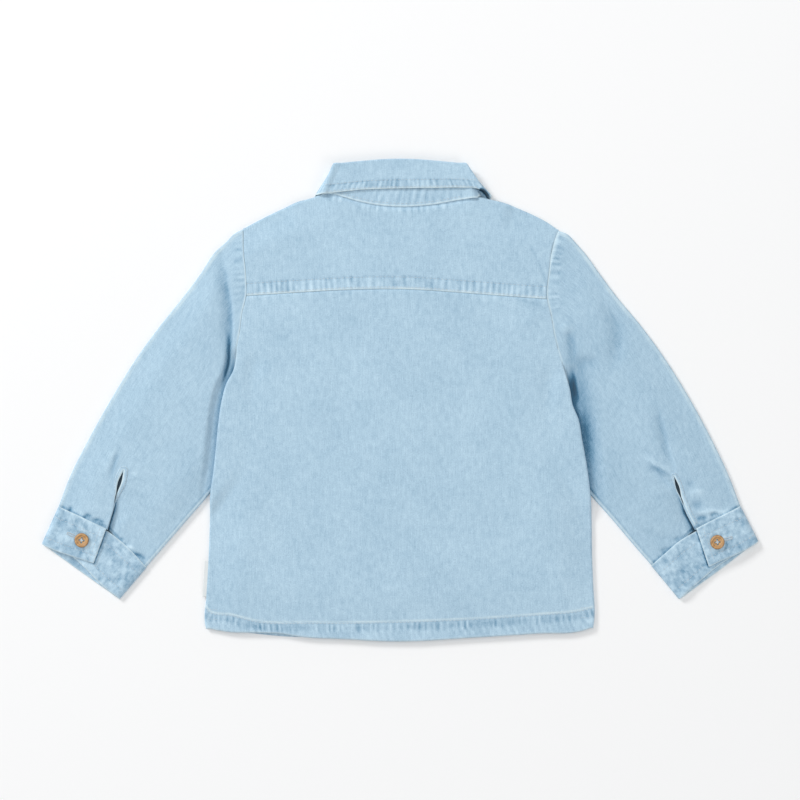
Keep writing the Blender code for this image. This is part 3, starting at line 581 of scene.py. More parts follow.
def ridges(seed, gone, across, pitch=5.0, lean=0.0, spread=(9, 3.5, 14)):
    # uneven ridges across a band, from the length along it and the depth into it
    phase = gone / pitch + lean * across / pitch + 0.55 * rough(seed + 1, gone / pitch / 2.4)
    wave = np.sin(2 * math.pi * phase) * (0.5 + 0.5 * rough(seed, gone / pitch / 1.3, across / spread[0]))
    fine = rough(seed + 2, gone / 2.2, across / spread[1])
    broad = rough(seed + 3, gone / 17, across / spread[2])
    return 0.72 * wave + 0.3 * fine + 0.3 * broad


def gathered(line, near, far, high, seed, out=2.5, pitch=5.0, lean=0.0, tone=0.8):
    # the puckers of a seam: its line, the band beside it and how it fades out, their height and tone
    return dict(line=line, near=near, far=far, high=high, seed=seed, out=out, pitch=pitch, lean=lean,
                tone=tone)


def pucker(x, y, seam):
    distance, gone, _ = toLine(x, y, seam["line"])
    distance, out = np.abs(distance), seam["out"]
    band = fade((distance - seam["near"] + 1.2) / 1.6) * fade((seam["far"] + out - distance) / (out + 1))
    return band * ridges(seam["seed"], gone, distance, seam["pitch"], seam["lean"], (12, 4.0, 30))


def seamMarks(x, y, puckers=(), worn=(), grooves=()):
    # height, tone and wear along the seams and edges of a panel
    rise, tone, wear = (np.zeros(np.shape(x)) for _ in range(3))
    for seam in puckers:
        # puckers are painted lighter on their ridges and darker in their hollows: partly the faded roping of
        # the denim, partly painted highlight and shade
        value = pucker(x, y, seam)
        rise += value * seam["high"]
        tone += value * seam["tone"]
    for number, (line, width, strength) in enumerate(worn):
        distance, gone, _ = toLine(x, y, line)
        patchy = 0.75 + 0.25 * rough(40 + number, gone / 9)
        wear = np.maximum(wear, strength * patchy * stripe(distance, width))
    for line, width, depth in grooves:
        # each groove is also painted darker along its line: painted shade in the dip of a stitch line, and a
        # dark seam line where it has no depth
        groove = stripe(toLine(x, y, line)[0], width)
        rise -= depth * groove
        tone -= 0.28 * groove
    return rise, dict(tone=tone, wear=wear)


def shifted(line, by):
    # a line moved sideways; positive is to its left
    points = np.array(line, float)
    tangent = np.gradient(points, axis=0)
    tangent /= np.linalg.norm(tangent, axis=1)[:, None]
    return [tuple(p) for p in points + np.stack([-tangent[:, 1], tangent[:, 0]], axis=1) * by]


def moved(function, amount):
    return lambda at: function(at) + amount


def tableLine(table, start, end, flip=False):
    # points of a table's curve between two values of its first column
    at = np.linspace(start, end, max(3, int(abs(end - start) / 2)))
    found = curve(table, at)
    return [tuple(p) for p in (zip(found, at) if flip else zip(at, found))]


hemLine = dense([(-155, -164.5), (-153.9, -166.8), (-134, -171.5), (-115.2, -176.2), (-69.6, -177.4),
                 (16, -176.2), (62.4, -174.2), (110, -171), (144.6, -167.7), (154, -165.5)])
hemEdge = tableLine(backHem, -154, 153)
yokeLine = tableLine(yokeSeam, -126, 121)
neckLine = dense(shoulderAndNeck[7:14])
armholes = {side: tableLine(sideEdges[side], 134, underarm(side), flip=True) for side in (-1, 1)}
# panels stop short of the outline by the reach of their rolled edges
inset = cloth["rollReach"] + cloth["thick"] / 2
bodySides = (moved(lambda y: sideX(-1, y), inset), moved(lambda y: sideX(1, y), -inset))
backParts = dict(length=279, width=300, step=1.7, lap=4.0, under=0.75)
yokeParts = dict(length=70, width=250, step=1.4, lift=0.22, topstitch=9.5)
frontParts = dict(length=330, width=165, step=2.1, hemStitch=13.6, bandStitch=1.6, bandTop=104, bandLow=-188,
                  slotUp=8.2, slotDown=7.0)


def finishPanel(name, node, grid, **seams):
    rise, marks = seamMarks(grid[..., 0], grid[..., 1], **seams)
    grid[..., 2] += rise
    return makeShell(name, grid, node, marks=marks)


def makeBack():
    seam, hem = (lambda x: curve(yokeSeam, x)), (lambda x: curve(backHem, x))
    length, width, step = backParts["length"], backParts["width"], backParts["step"]
    rows = uneven(length, step, [(0, 6, 0.7), (length - 16, 2.5, 0.7), (length, 14, 1.3)])
    columns = uneven(width, step, [(0, 4, 0.8), (width, 4, 0.8)])
    x, y = panel(rows, columns, *bodySides, moved(seam, backParts["lap"]), hem)
    z = upperHeight(x, y) - backParts["under"] * fade((y - curve(yokeSeam, x) + 2.2) / 2.6)
    grid = rollSides(np.stack([x, y, z], axis=-1), (-1, 1), 1)
    return finishPanel(
        "backBodyCloth", "back_body", grid,
        puckers=[gathered(shifted(hemLine, -5.0), 0, 3, 0.24, seed=3, out=1.8, pitch=4.7, tone=0.85),
                 gathered(hemEdge, 0, 8, 0.22, seed=6, pitch=5.6, lean=0.5, tone=0.42),
                 gathered(yokeLine, 1.5, 3, 0.12, seed=9, out=7, pitch=8, tone=0.3)],
        worn=[(hemLine, 0.8, 0.6), (hemEdge, 0.8, 0.6), (armholes[-1], 0.7, 0.4), (armholes[1], 0.7, 0.4)],
        grooves=[(shifted(hemLine, -1.2), 0.9, 0.2), (shifted(hemLine, -5.0), 2.6, 0.1),
                 (dense([(93.0, 80.4), (105.0, 77.6), (117.0, 73.0)]), 1.3, 0.15)])


def makeYoke():
    seam, top = (lambda x: curve(yokeSeam, x)), moved(lambda x: curve(shoulderAndNeck, x), -inset)
    length, width, step = yokeParts["length"], yokeParts["width"], yokeParts["step"]
    rows = uneven(length, step, [(0, 5, 0.7), (length - yokeParts["topstitch"], 2, 0.7), (length, 3, 0.5)])
    columns = uneven(width, step, [(0, 4, 0.8), (width, 4, 0.8)])
    x, y = panel(rows, columns, *bodySides, top, seam)
    beyond = y - curve(yokeSeam, x)
    z = upperHeight(x, y) + yokeParts["lift"] * (1 - fade(beyond / 14)) - 0.35 * (1 - fade(beyond / 0.8))
    z -= 0.95 * (1 - fade((top(x) - y) / 2.4)) * fade((66 - np.abs(x)) / 6)
    grid = rollShoulder(rollSides(np.stack([x, y, z], axis=-1), (-1, 1), 1), 1)
    topstitch = shifted(yokeLine, yokeParts["topstitch"])
    return finishPanel(
        "backYokeCloth", "back_yoke", grid,
        puckers=[gathered(yokeLine, 0, yokeParts["topstitch"], 0.27, seed=21, out=2.4),
                 gathered(neckLine, 1, 5, 0.13, seed=23, out=3.5, pitch=5.5, tone=0.48)],
        worn=[(yokeLine, 1.1, 1.0), (neckLine, 0.7, 0.4), (armholes[-1], 0.7, 0.3), (armholes[1], 0.7, 0.3)],
        grooves=[(topstitch, 0.8, 0.18), (armholes[-1], 0.8, 0.0), (armholes[1], 0.8, 0.0),
                 (dense([(104.5, 123.0), (111.0, 109.0), (117.0, 94.0)]), 1.3, 0.15)])


def makeFronts():
    top, hem = moved(lambda x: curve(frontNeck, x), -inset), (lambda x: curve(frontHem, x))
    length, width, step = frontParts["length"], frontParts["width"], frontParts["step"]
    hemTable = tableLine(frontHem, -154, 153)
    made = {}
    for name, node, side in (("frontLeftCloth", "front_left", -1), ("frontRightCloth", "front_right", 1)):
        outer = moved(lambda y: sideX(side, y), -side * inset)
        centre = lambda y: np.zeros_like(y) - side * cloth["placketHalf"]
        edges = (outer, centre) if side < 0 else (centre, outer)
        rows = uneven(length, step, [(0, 4, 1.0), (length, 15, 1.5)])
        columns = uneven(width, step, [(0, 4, 0.8), (width, 4, 0.8), (width if side < 0 else 0, 26, 1.2)])
        x, y = panel(rows, columns, *edges, top, hem)
        layer = fade((34 - x) / 14) if side > 0 else 0
        grid = np.stack([x, y, lowerHeight(x, y, layer)], axis=-1)
        grid = rollShoulder(rollSides(grid, (side,), -1), -1)
        band = [(-side * cloth["placketHalf"], 106), (-side * cloth["placketHalf"], -190)]
        bandFold = [(side * cloth["placketHalf"], 120), (side * cloth["placketHalf"], -190)]
        made[side] = finishPanel(
            name, node, grid,
            puckers=[gathered(hemTable, 0, 14, -0.2, seed=30 + side, out=1.5, pitch=4.4, lean=0.35),
                     gathered(band, 0, 6, -0.12, seed=34 + side, out=3, tone=0.5)],
            worn=[(shifted(hemTable, 15), 0.9, 0.5), (bandFold, 0.8, 0.5), (armholes[side], 0.8, 0.4)],
            grooves=[(shifted(hemTable, frontParts["hemStitch"]), 0.9, -0.15)])
    return made


# soft folds of the sleeves; those with a tone are also painted darker in their hollows and lighter on their
# ridges: painted shade and highlight
leftCreases = [
    fold([(-146.0, 124.0), (-143.2, 118.0), (-139.2, 98.0), (-135.2, 72.4), (-134.4, 43.6), (-133.4, 24.0)],
         1.2, 7.0, -2.1, tone=-0.75, tail=0.4, open=0.25),
    fold([(-136.8, 58), (-136.6, 39.6), (-137.4, 29), (-140.0, 20), (-143.6, 8)],
         1.2, 2.3, -0.9, tone=-1.7, tail=0.35),
    fold([(-157, 112), (-156, 78), (-152, 40), (-150, 0)], 8, 14, 0.35),
    fold([(-166, 20), (-192, -10), (-216, -40)], 16, 16, 0.5),
    fold([(-216.4, -58.8), (-206, -57.6)], 1.6, 2.4, 0.3, tone=0.25),
    fold([(-222.4, -35.6), (-226.4, -46), (-229.6, -55.6), (-231, -66)], 1.6, 2.8, -0.6, tone=-0.5),
    fold([(-226.6, -38), (-232, -50), (-236, -62)], 3, 4, 0.4, tone=0.14),
    fold([(-241, -84), (-247, -60), (-250, -44)], 6, 7, 0.4),
    fold([(-265.7, -89.8), (-263.7, -86.2), (-261.2, -88.8)], 1.6, 1.8, -0.45, tone=-0.8),
    fold([(-254.6, -94.6), (-250.2, -91.8), (-245.0, -93.4)], 1.4, 2.0, -0.6, tone=-1.1, tail=0.3),
    fold([(-248.0, -95.6), (-241, -95.6), (-235.5, -98.6)], 1.3, 1.8, -0.5, tone=-1.0, tail=0.25),
    fold([(-214.0, -122.0), (-208.4, -124.2), (-202.6, -128.4)], 1.7, 1.6, -0.7, tone=-1.1, tail=0.3),
    fold([(-222, -117.0), (-217.0, -117.2), (-211.5, -119.6)], 1.2, 1.4, 0.4, tone=0.7),
    fold([(-229, -106.0), (-224.0, -110.6), (-219, -112.4)], 1.2, 1.2, -0.3, tone=-0.5),
    fold([(-204, -118), (-188, -92), (-170, -70)], 12, 9, 0.35),
    fold([(-231, -104), (-222, -100), (-214, -90)], 2.5, 4.5, 0.4),
]
rightCreases = [
    fold([(137.0, 46.0), (143, 24.4), (150.8, -27.6), (153.6, -67.6)],
         7, 3.0, -1.4, tone=-0.6, tail=0.3, open=0.2),
    fold([(157, 79), (170.9, 63.6), (172.0, 34.8), (163.7, 18.0)], 6, 7, -1.2, tone=-0.34),
    fold([(138.4, 34.6), (150, 30), (161.2, 33.4)], 4, 6, -1.0, tone=-0.3),
    fold([(127, 54.4), (131, 59), (138, 55)], 2.5, 5, 0.7, tone=0.12),
    fold([(129, 50), (132, 53.5), (137, 49), (138, 38), (137.4, 26)], 3, 5, -0.7, tone=-0.42, tail=0.2),
    fold([(136.0, 33), (138.2, 24), (140.4, 8), (144.4, -8)], 2, 2.5, -0.4, tone=-1.1),
    fold([(204.0, 0.4), (209.6, -20.4), (213.6, -40.4), (219.2, -60.4)], 1.6, 4.4, -1.0, tone=-0.4),
    fold([(193.2, -45.2), (206.6, -51.4), (217.4, -59.0)], 2.6, 1.3, 1.0, tone=0.25, tail=0.3),
    fold([(196.8, -50.5), (207.0, -54.9), (216.9, -62.0)], 1.2, 3.6, -0.9, tone=-0.75),
    fold([(130.8, 127.6), (148, 110.8), (173.6, 74.8), (196, 44), (214, 14)], 3.5, 4.0, 0.35),
    fold([(229.4, -76.2), (234.0, -73.6), (240, -72.0), (246.4, -73.4)], 1.6, 3, 0.5, tone=0.4),
    fold([(231.4, -80.5), (237.0, -84.6), (244, -80.4)], 3.5, 3.5, -0.5, tone=-0.5),
    fold([(228.0, -68.6), (232.0, -66.0), (236.0, -67.0)], 1.6, 2.0, -0.3, tone=-0.45),
    fold([(236.0, -91.0), (243.0, -89.4), (249.0, -87.8), (256, -90.2), (266, -87)],
         1.5, 2, 0.45, tone=0.5, tail=0.15),
    fold([(236.5, -96.5), (241.0, -93.6), (246.0, -94.8)], 2.0, 2.2, -0.6, tone=-1.0, tail=0.25),
    fold([(247.4, -93.2), (251.0, -90.6), (256.0, -91.9)], 1.7, 1.8, -0.55, tone=-0.9, tail=0.25),
    fold([(206, -122), (212, -119), (220, -119.4)], 1.5, 2.8, -0.5, tone=-0.6),
    fold([(217, -114), (222, -110), (229, -110.0)], 1.5, 2.2, -0.4, tone=-0.5),
    fold([(189, -98), (206, -110), (224, -112)], 4, 6, -0.4, tone=-0.14),
    fold([(176, 20), (196, -24), (204, -70)], 14, 14, 0.45),
    fold([(186, -60), (196, -86), (206, -104)], 10, 10, -0.3),
    fold([(234, -92), (226, -72), (222, -62)], 2.2, 2.2, 0.35),
]
sleeveCreases = {-1: leftCreases, 1: rightCreases}
sleeveParts = dict(length=270, step=1.9, topOut=40, bottom=44, topIn=44, slitTop=0.735, lapRise=2.0,
                   shade={-1: 1.1, 1: 1.5}, shadeReach={-1: 3.6, 1: 7.0}, underBody={-1: 9.5, 1: 15.0},
                   deeper={-1: 0.02, 1: 0.09}, slitReach={-1: 1.3, 1: 1.9}, slitShade=1.7, seamShade=0.85,
                   edgeWear=0.32, felled=0.4, paler=0.85)


def coverShare(x, y, side):
    # 1 where the body lies over the sleeve
    beyond = (x - sideX(side, y)) * side
    reach = sleeveParts["underBody"][side]
    return fade((reach - beyond) / (reach - 5)) * fade((underarm(side) + 17 - y) / 11)


def sleeveRing(side):
    table = sleeveEdges[side]
    bow = leftCuffSeam if side < 0 else rightCuffSeam
    length = sleeveParts["length"]
    rows = uneven(length, sleeveParts["step"], [(0, 4, 0.8), (length, 8, 0.9)])
    opened = int(np.argmin(np.abs(rows - sleeveParts["slitTop"])))
    outer, inner = along([row[0] for row in table], rows), along([row[1] for row in table], rows)
    across = inner - outer
    width = np.linalg.norm(across, axis=1)
    slitShare = np.interp(rows, (0, rows[opened], 1), (0.42, 0.40, 0.49))
    turn = np.radians(np.arange(15, 180, 25))
    counts = (sleeveParts["topOut"], len(turn), sleeveParts["bottom"], len(turn), sleeveParts["topIn"])
    below = np.concatenate([np.zeros(counts[0]), (1 - np.cos(turn)) / 2, np.ones(counts[2]),
                            (1 + np.cos(turn)) / 2, np.zeros(counts[4])])
    reach = cloth["edgeRise"] / 2
    grid, flat = [], []
    for row, share in enumerate(rows):
        out = across[row] / width[row]
        inset = (reach + cloth["thick"] / 2) / width[row]
        topOut = slitShare[row] + (inset - slitShare[row]) * uneven(50, 50 / (counts[0] - 1))[:counts[0]]
        bottom = inset + (1 - 2 * inset) * np.linspace(0, 1, counts[2])
        topIn = np.linspace(1 - inset, slitShare[row], counts[4])
        bendOut = inset - reach / width[row] * np.sin(turn)
        bendIn = 1 - inset + reach / width[row] * np.sin(turn)
        shares = np.concatenate([topOut, bendOut, bottom, bendIn, topIn])
        point = outer[row] + across[row] * shares[:, None]
        bowed = curve(bow, shares) * fade((share - 0.62) / 0.38) * (1 - below)
        point = point + np.array([out[1], -out[0]]) * side * bowed[:, None]
        armhole = sideX(side, point[:, 1]) - side * 0.05
        nearBody = fade(1 - share / 0.16) * (fade(shares / 0.3) if row else 1)
        point[:, 0] += (armhole - point[:, 0]) * nearBody
        x, y = point[:, 0], point[:, 1]
        inside = fade(shares * width[row] / 28) * fade((1 - shares) * width[row] / 28)
        atCuff = fade((share - 0.76) / 0.24)
        loft = cloth["crown"] - cloth["rest"] - cloth["edgeRise"] - 1.9 * atCuff
        loft = loft + sleeveParts["lapRise"] * atCuff * (np.arange(len(shares)) < counts[0])
        soft = fade(shares * width[row] / 9) * fade((1 - shares) * width[row] / 9)
        high = cloth["rest"] + cloth["edgeRise"] + loft * inside
        high = high + creases(x, y, sleeveCreases[side]) * soft
        high = high + (cloth["rest"] + cloth["level"] + 0.1 - high) * coverShare(x, y, side)
        grid.append(np.stack([x, y, high + (cloth["rest"] - high) * below], axis=-1))
        goneRound = np.where(below > 0.5, -shares, shares) * width[row]
        flat.append(np.stack([goneRound, np.full(x.shape, share * length)], axis=-1))
    grid = np.array(grid)
    partSlit(grid, opened, slits[side])
    # the end is sewn into the cuff
    for row, reach in ((-2, 0.6), (-1, 1.6)):
        way = grid[-3] - grid[-6]
        grid[row, :, 2] -= reach * 0.3 * (1 - below)
        grid[row, :, :2] += reach * way[:, :2] / np.linalg.norm(way[:, :2], axis=1)[:, None]
    return grid, np.array(flat), opened, below


def slitHole(share):
    # half the width of the hole at shares of the way down the slit
    return 1.15 * np.sin(math.pi * np.clip(share / 0.42, 0, 1)) ** 1.5


def partSlit(grid, opened, slit):
    # opens the ring below the top of its slit; lower down the lapping side lies over the other
    count = len(grid) - opened
    even = np.linspace(0, 1, count)
    shift = along(slit, even) - grid[opened:, 0, :2]
    hole = slitHole(even) + 0.28 * fade(even / 0.1)
    lap = -1.7 * fade((even - 0.42) / 0.3)
    away = grid[-1, 1, :2] - grid[-1, -2, :2]
    away /= np.linalg.norm(away)
    upper = np.array([fade(1 + (row - opened) / 12) for row in range(opened)])
    for step in range(14):
        weight = fade(1 - step / 14)
        for column, sign, part in ((step, 1, hole + lap), (-1 - step, -1, hole)):
            grid[opened:, column, :2] += (shift + sign * away * part[:, None]) * weight
            grid[:opened, column, :2] += shift[0] * weight * upper[:, None]
        grid[opened:, -1 - step, 2] -= 0.9 * weight * fade((even - 0.2) / 0.3)
    grid[:opened + 1, -1] = grid[:opened + 1, 0]


def sleeveSeams(side, x, y, cuffSeam):
    shoulder = armholes[side]
    upper = shoulder[:len(shoulder) * 5 // 9]
    return seamMarks(
        x, y,
        puckers=[gathered(cuffSeam, 0, 3, 0.22, seed=51 + side, out=4, pitch=6, tone=0.4),
                 gathered(upper, 1.5, 8, 0.24, seed=55 + side, pitch=5.6, tone=0.6)],
        worn=[(shoulder, 0.8, 0.65)])


def sleeveShade(side, x, y, cuffSeam, lapEdge):
    # painted shade: darker under the body's edge, in the folds, beside the cuff and in the opening, with
    # painted highlight on the lighter folds, and each sleeve a little darker all over
    beyond = np.maximum((x - sideX(side, y)) * side, 0)
    shade = fade((underarm(side) + 12 - y) / 14) * stripe(beyond, sleeveParts["shadeReach"][side])
    shade *= 0.55 + 0.45 * fade((y - underarm(side) + 90) / 90)
    tone = -sleeveParts["deeper"][side] - sleeveParts["shade"][side] * shade
    for one in sleeveCreases[side]:
        if one["tone"]:
            tone += creases(x, y, [dict(one, high=one["tone"])])
    fromCuff, gone, _ = toLine(x, y, cuffSeam)
    patchy = 0.7 + 0.4 * rough(63 + side, gone / 6)
    tone -= sleeveParts["seamShade"] * patchy * stripe(fromCuff, 0.75, at=2.0)
    fromLap, gone, _ = toLine(x, y, lapEdge)
    under = (np.arange(x.shape[1]) >= x.shape[1] - sleeveParts["topIn"])[None, :] * fade(gone / 10)
    slit = sleeveParts["slitShade"] * stripe(fromLap, sleeveParts["slitReach"][side])
    return tone - under * (slit + 0.35 * stripe(fromLap, 4.0))


def makeSleeve(side):
    grid, flat, opened, below = sleeveRing(side)
    x, y = grid[..., 0], grid[..., 1]
    seamEnd = np.concatenate([grid[-1, :sleeveParts["topOut"], :2][::-1],
                              grid[-1, -sleeveParts["topIn"]:, :2][::-1]])
    cuffSeam, lapEdge = ([tuple(p) for p in line] for line in (seamEnd, grid[opened:, 0, :2]))
    rise, marks = sleeveSeams(side, x, y, cuffSeam)
    tone = marks["tone"] + sleeveShade(side, x, y, cuffSeam, lapEdge)
    outer, inner = zip(*sleeveEdges[side])
    edge, gone, _ = toLine(x, y, dense(outer, 4))
    patchy = 1 + 0.5 * rough(61, gone / 8)
    wear = np.maximum(marks["wear"], sleeveParts["edgeWear"] * patchy * stripe(edge, 1.3, at=1.8))
    # the lower part of the inner edge is felled
    edge, gone, length = toLine(x, y, dense(inner, 4))
    felled = sleeveParts["felled"] * fade((gone / length - 0.45) / 0.1)
    wear = np.maximum(wear, felled * stripe(edge, 0.7, at=1.5))
    tone -= felled * stripe(edge, 0.7, at=3.0)
    # the wall below has little of the shade
    tone *= 1 - sleeveParts["paler"] * below
    grid[..., 2] += rise * (1 - below)
    word = sideNames[side]
    return makeShell("sleeve" + word + "Cloth", grid, "sleeve_" + word.lower(), uv=flat,
                     marks=dict(tone=tone, wear=wear), ringRows=opened + 1, inside="denimShadedInside", side=side)


# stations round the wrist from the lapping end: sleeve edge, lower edge, height
leftCuff = [
    (-234.9, -103.0, -245.0, -130.3, 5.1), (-245.0, -98.3, -253.0, -127.8, 5.1),
    (-256.0, -93.0, -264.0, -124.3, 4.9), (-266.5, -88.3, -278.0, -119.4, 4.2),
    (-272.0, -85.7, -285.3, -116.0, 3.2), (-272.8, -85.3, -286.4, -115.4, 2.2),
    (-271.0, -86.4, -284.6, -116.6, 1.1), (-264.0, -91.4, -279.0, -120.8, 0.75),
    (-238.0, -109.3, -256.3, -137.2, 0.75), (-211.0, -127.9, -232.0, -154.4, 0.75),
    (-205.0, -132.2, -226.6, -158.2, 1.0), (-203.2, -133.4, -225.2, -159.0, 1.9),
    (-204.6, -132.0, -226.6, -157.6, 2.7), (-212.0, -124.0, -233.5, -152.2, 3.1),
    (-223.0, -113.5, -243.4, -143.4, 3.1), (-235.6, -104.2, -252.6, -133.8, 3.1),
    (-247.0, -99.4, -262.0, -125.6, 2.9), (-255.0, -96.0, -270.0, -121.6, 2.8)]
rightCuff = [
    (237.0, -102.8, 247.0, -133.2, 5.1), (247.0, -97.6, 257.6, -128.0, 5.1),
    (257.4, -92.4, 267.6, -124.0, 4.9), (266.5, -88.0, 279.4, -118.0, 4.2),
    (271.3, -85.6, 285.4, -114.2, 3.2), (272.0, -85.2, 286.4, -113.5, 2.2),
    (270.2, -86.3, 284.6, -114.8, 1.1), (263.0, -91.4, 278.0, -119.6, 0.75),
    (237.6, -108.4, 256.0, -136.4, 0.75), (209.6, -127.0, 231.0, -154.6, 0.75),
    (203.6, -131.0, 225.6, -158.6, 1.0), (201.8, -132.2, 224.2, -159.3, 1.9),
    (203.2, -130.8, 225.6, -157.8, 2.7), (212.0, -123.0, 233.6, -150.4, 3.1),
    (223.4, -113.2, 243.6, -141.8, 3.1), (237.6, -104.8, 254.2, -133.0, 3.1),
    (248.6, -98.8, 264.0, -126.4, 2.9), (256.0, -95.4, 272.0, -121.0, 2.8)]
cuffStations = {-1: leftCuff, 1: rightCuff}
# of the points round the wrist, the upper wall has the first ones and the wall under the flap the last ones
cuffParts = dict(step=0.95, thick=1.5, deep=31.5, seamStitch=8.0, lowerStitch=6.4, lapEnd=5.0, endStitch=0.45,
                 points=160, upperEnd=44, underStart=108, clear=0.8, ridge=0.2, ridgeTone=0.5, cloud=0.18,
                 cloudTone=0.3, grainTone=0.34, shade=0.1, groove=0.14, grooveTone=0.22, edgeWear=0.72,
                 edgeDrop=0.35, flapShade=1.7)


def makeCuff(side):
    table = np.array(cuffStations[side])
    length = np.linalg.norm(np.diff((table[:, :2] + table[:, 2:4]) / 2, axis=0), axis=1).sum()
    shares = uneven(length, cuffParts["step"], [(0, 3, 0.6)])
    stations = along(table, shares)
    deep = cuffParts["deep"]
    stitched = (cuffParts["seamStitch"], deep - cuffParts["lowerStitch"])
    rows = uneven(deep, cuffParts["step"], [(0, 2, 0.5), (deep, 2, 0.5)] + [(at, 1, 0.6) for at in stitched])
    seam = np.concatenate([stations[:, :2], stations[:, 4:]], axis=1)
    lower = stations[:, 2:]
    grid = seam + (lower - seam) * rows[:, None, None]
    # cloth coordinates: how far down the cuff and how far round it
    down, goneRound = np.broadcast_arrays(rows[:, None] * deep, shares[None, :] * length)
    seed = 71 if side < 0 else 77
    tone, wear, rise = (np.zeros(down.shape) for _ in range(3))
    bands = ((0.0, cuffParts["seamStitch"], 0.2, 0), (deep, cuffParts["lowerStitch"], -0.3, 5),
             (deep / 2, 9.0, 0.6, 9))
    # puckered bands, painted lighter on their ridges and darker in their hollows: partly faded roping, partly
    # painted highlight and shade
    for at, reach, lean, number in bands:
        band = fade((reach + 2.5 - np.abs(down - at)) / 4)
        value = 0.55 * ridges(seed + number, goneRound, down, 6.4, lean) * band
        value += 0.6 * rough(seed + number + 4, goneRound / 4.6, down / 4.2) * band
        rise += cuffParts["ridge"] * value
        tone += cuffParts["ridgeTone"] * value
    cloudy = rough(seed + 13, goneRound / 13, down / 9)
    grain = rough(seed + 30, goneRound / 1.7, down / 1.7)
    tone += cuffParts["cloudTone"] * cloudy + cuffParts["grainTone"] * grain - cuffParts["shade"]
    rise += cuffParts["cloud"] * cloudy
    # painted shade in the stitch grooves
    for at in stitched:
        groove = stripe(down, 0.8, at=at)
        rise -= cuffParts["groove"] * groove
        tone -= cuffParts["grooveTone"] * groove
    rise -= 0.12 * stripe(goneRound, 0.9, at=cuffParts["lapEnd"])
    patchy = 0.75 + 0.25 * rough(seed + 20, goneRound / 7)
    for distance in (down, deep - down, goneRound):
        wear = np.maximum(wear, patchy * cuffParts["edgeWear"] * stripe(distance, 0.7))
        rise -= cuffParts["edgeDrop"] * fade(1 - distance / 1.1)
    # the flap's end shades the wall below it
    flapEnd, _, _ = toLine(grid[..., 0], grid[..., 1], [tuple(stations[0, :2]), tuple(stations[0, 2:4])])
    tone -= cuffParts["flapShade"] * stripe(flapEnd, 1.1) * (shares > 0.6)[None, :]
    facing = np.where(np.abs(stations[:, 4] - 0.75) < 0.3, -1.0, 1.0)[None, :]
    middle = fade((stations[:, 4] - 2.6) / 0.5)[None, :] + fade((1.2 - stations[:, 4]) / 0.4)[None, :]
    grid[..., 2] += rise * np.clip(facing, 0, 1) * np.minimum(middle, 1)
    flat = np.stack([goneRound, -down], axis=-1)
    word = sideNames[side]
    return makeShell("cuff" + word + "Cloth", grid, "cuff_" + word.lower(), uv=flat,
                     marks=dict(tone=tone, wear=wear), thick=cuffParts["thick"])


collarParts = dict(columns=380, deep=24, step=0.85, stitch=6.8, drawnIn=5.2, ridge=0.22, ridgeTone=0.85,
                   groove=0.14, grooveTone=0.25, cloud=0.15, cloudTone=0.12, bandTone=0.16, edgeDrop=0.3,
                   endWear=0.5, gapShade=3.2)
collarEdge = [(-67.5, 163.8), (-60.0, 165.0), (-50.0, 166.0), (-30.0, 168.0), (-10.0, 168.8), (10.0, 169.2),
              (28.0, 169.4), (50.0, 169.6), (62.0, 168.8), (68.0, 166.2), (72.4, 160.2)]
collarGap = [(64.5, 168.4), (67.8, 166.2), (69.9, 163.4), (71.1, 160.8), (71.8, 158.6)]


def mirrored(row):
    return {key: (-value[0], value[1]) if isinstance(value, tuple) else value for key, value in row.items()}


def collarLines(rows, key):
    return np.array([np.atleast_1d(row[key]) for row in rows], float)


def roundNeck(rows, keys, leading, count):
    # smooth lines through the stations, divided alike by the lengths along one of them
    steps = np.linalg.norm(np.diff(collarLines(rows, leading), axis=0), axis=1)
    index = np.concatenate([[0], np.cumsum(steps + 1)]) / (steps + 1).sum()
    at = np.linspace(0, 1, count)
    return [np.stack([curve(list(zip(index, column)), at) for column in collarLines(rows, key).T], axis=-1)
            for key in keys]


def lengthAlong(line):
    return np.concatenate([[0], np.cumsum(np.linalg.norm(np.diff(line, axis=0), axis=1))])[None, :]


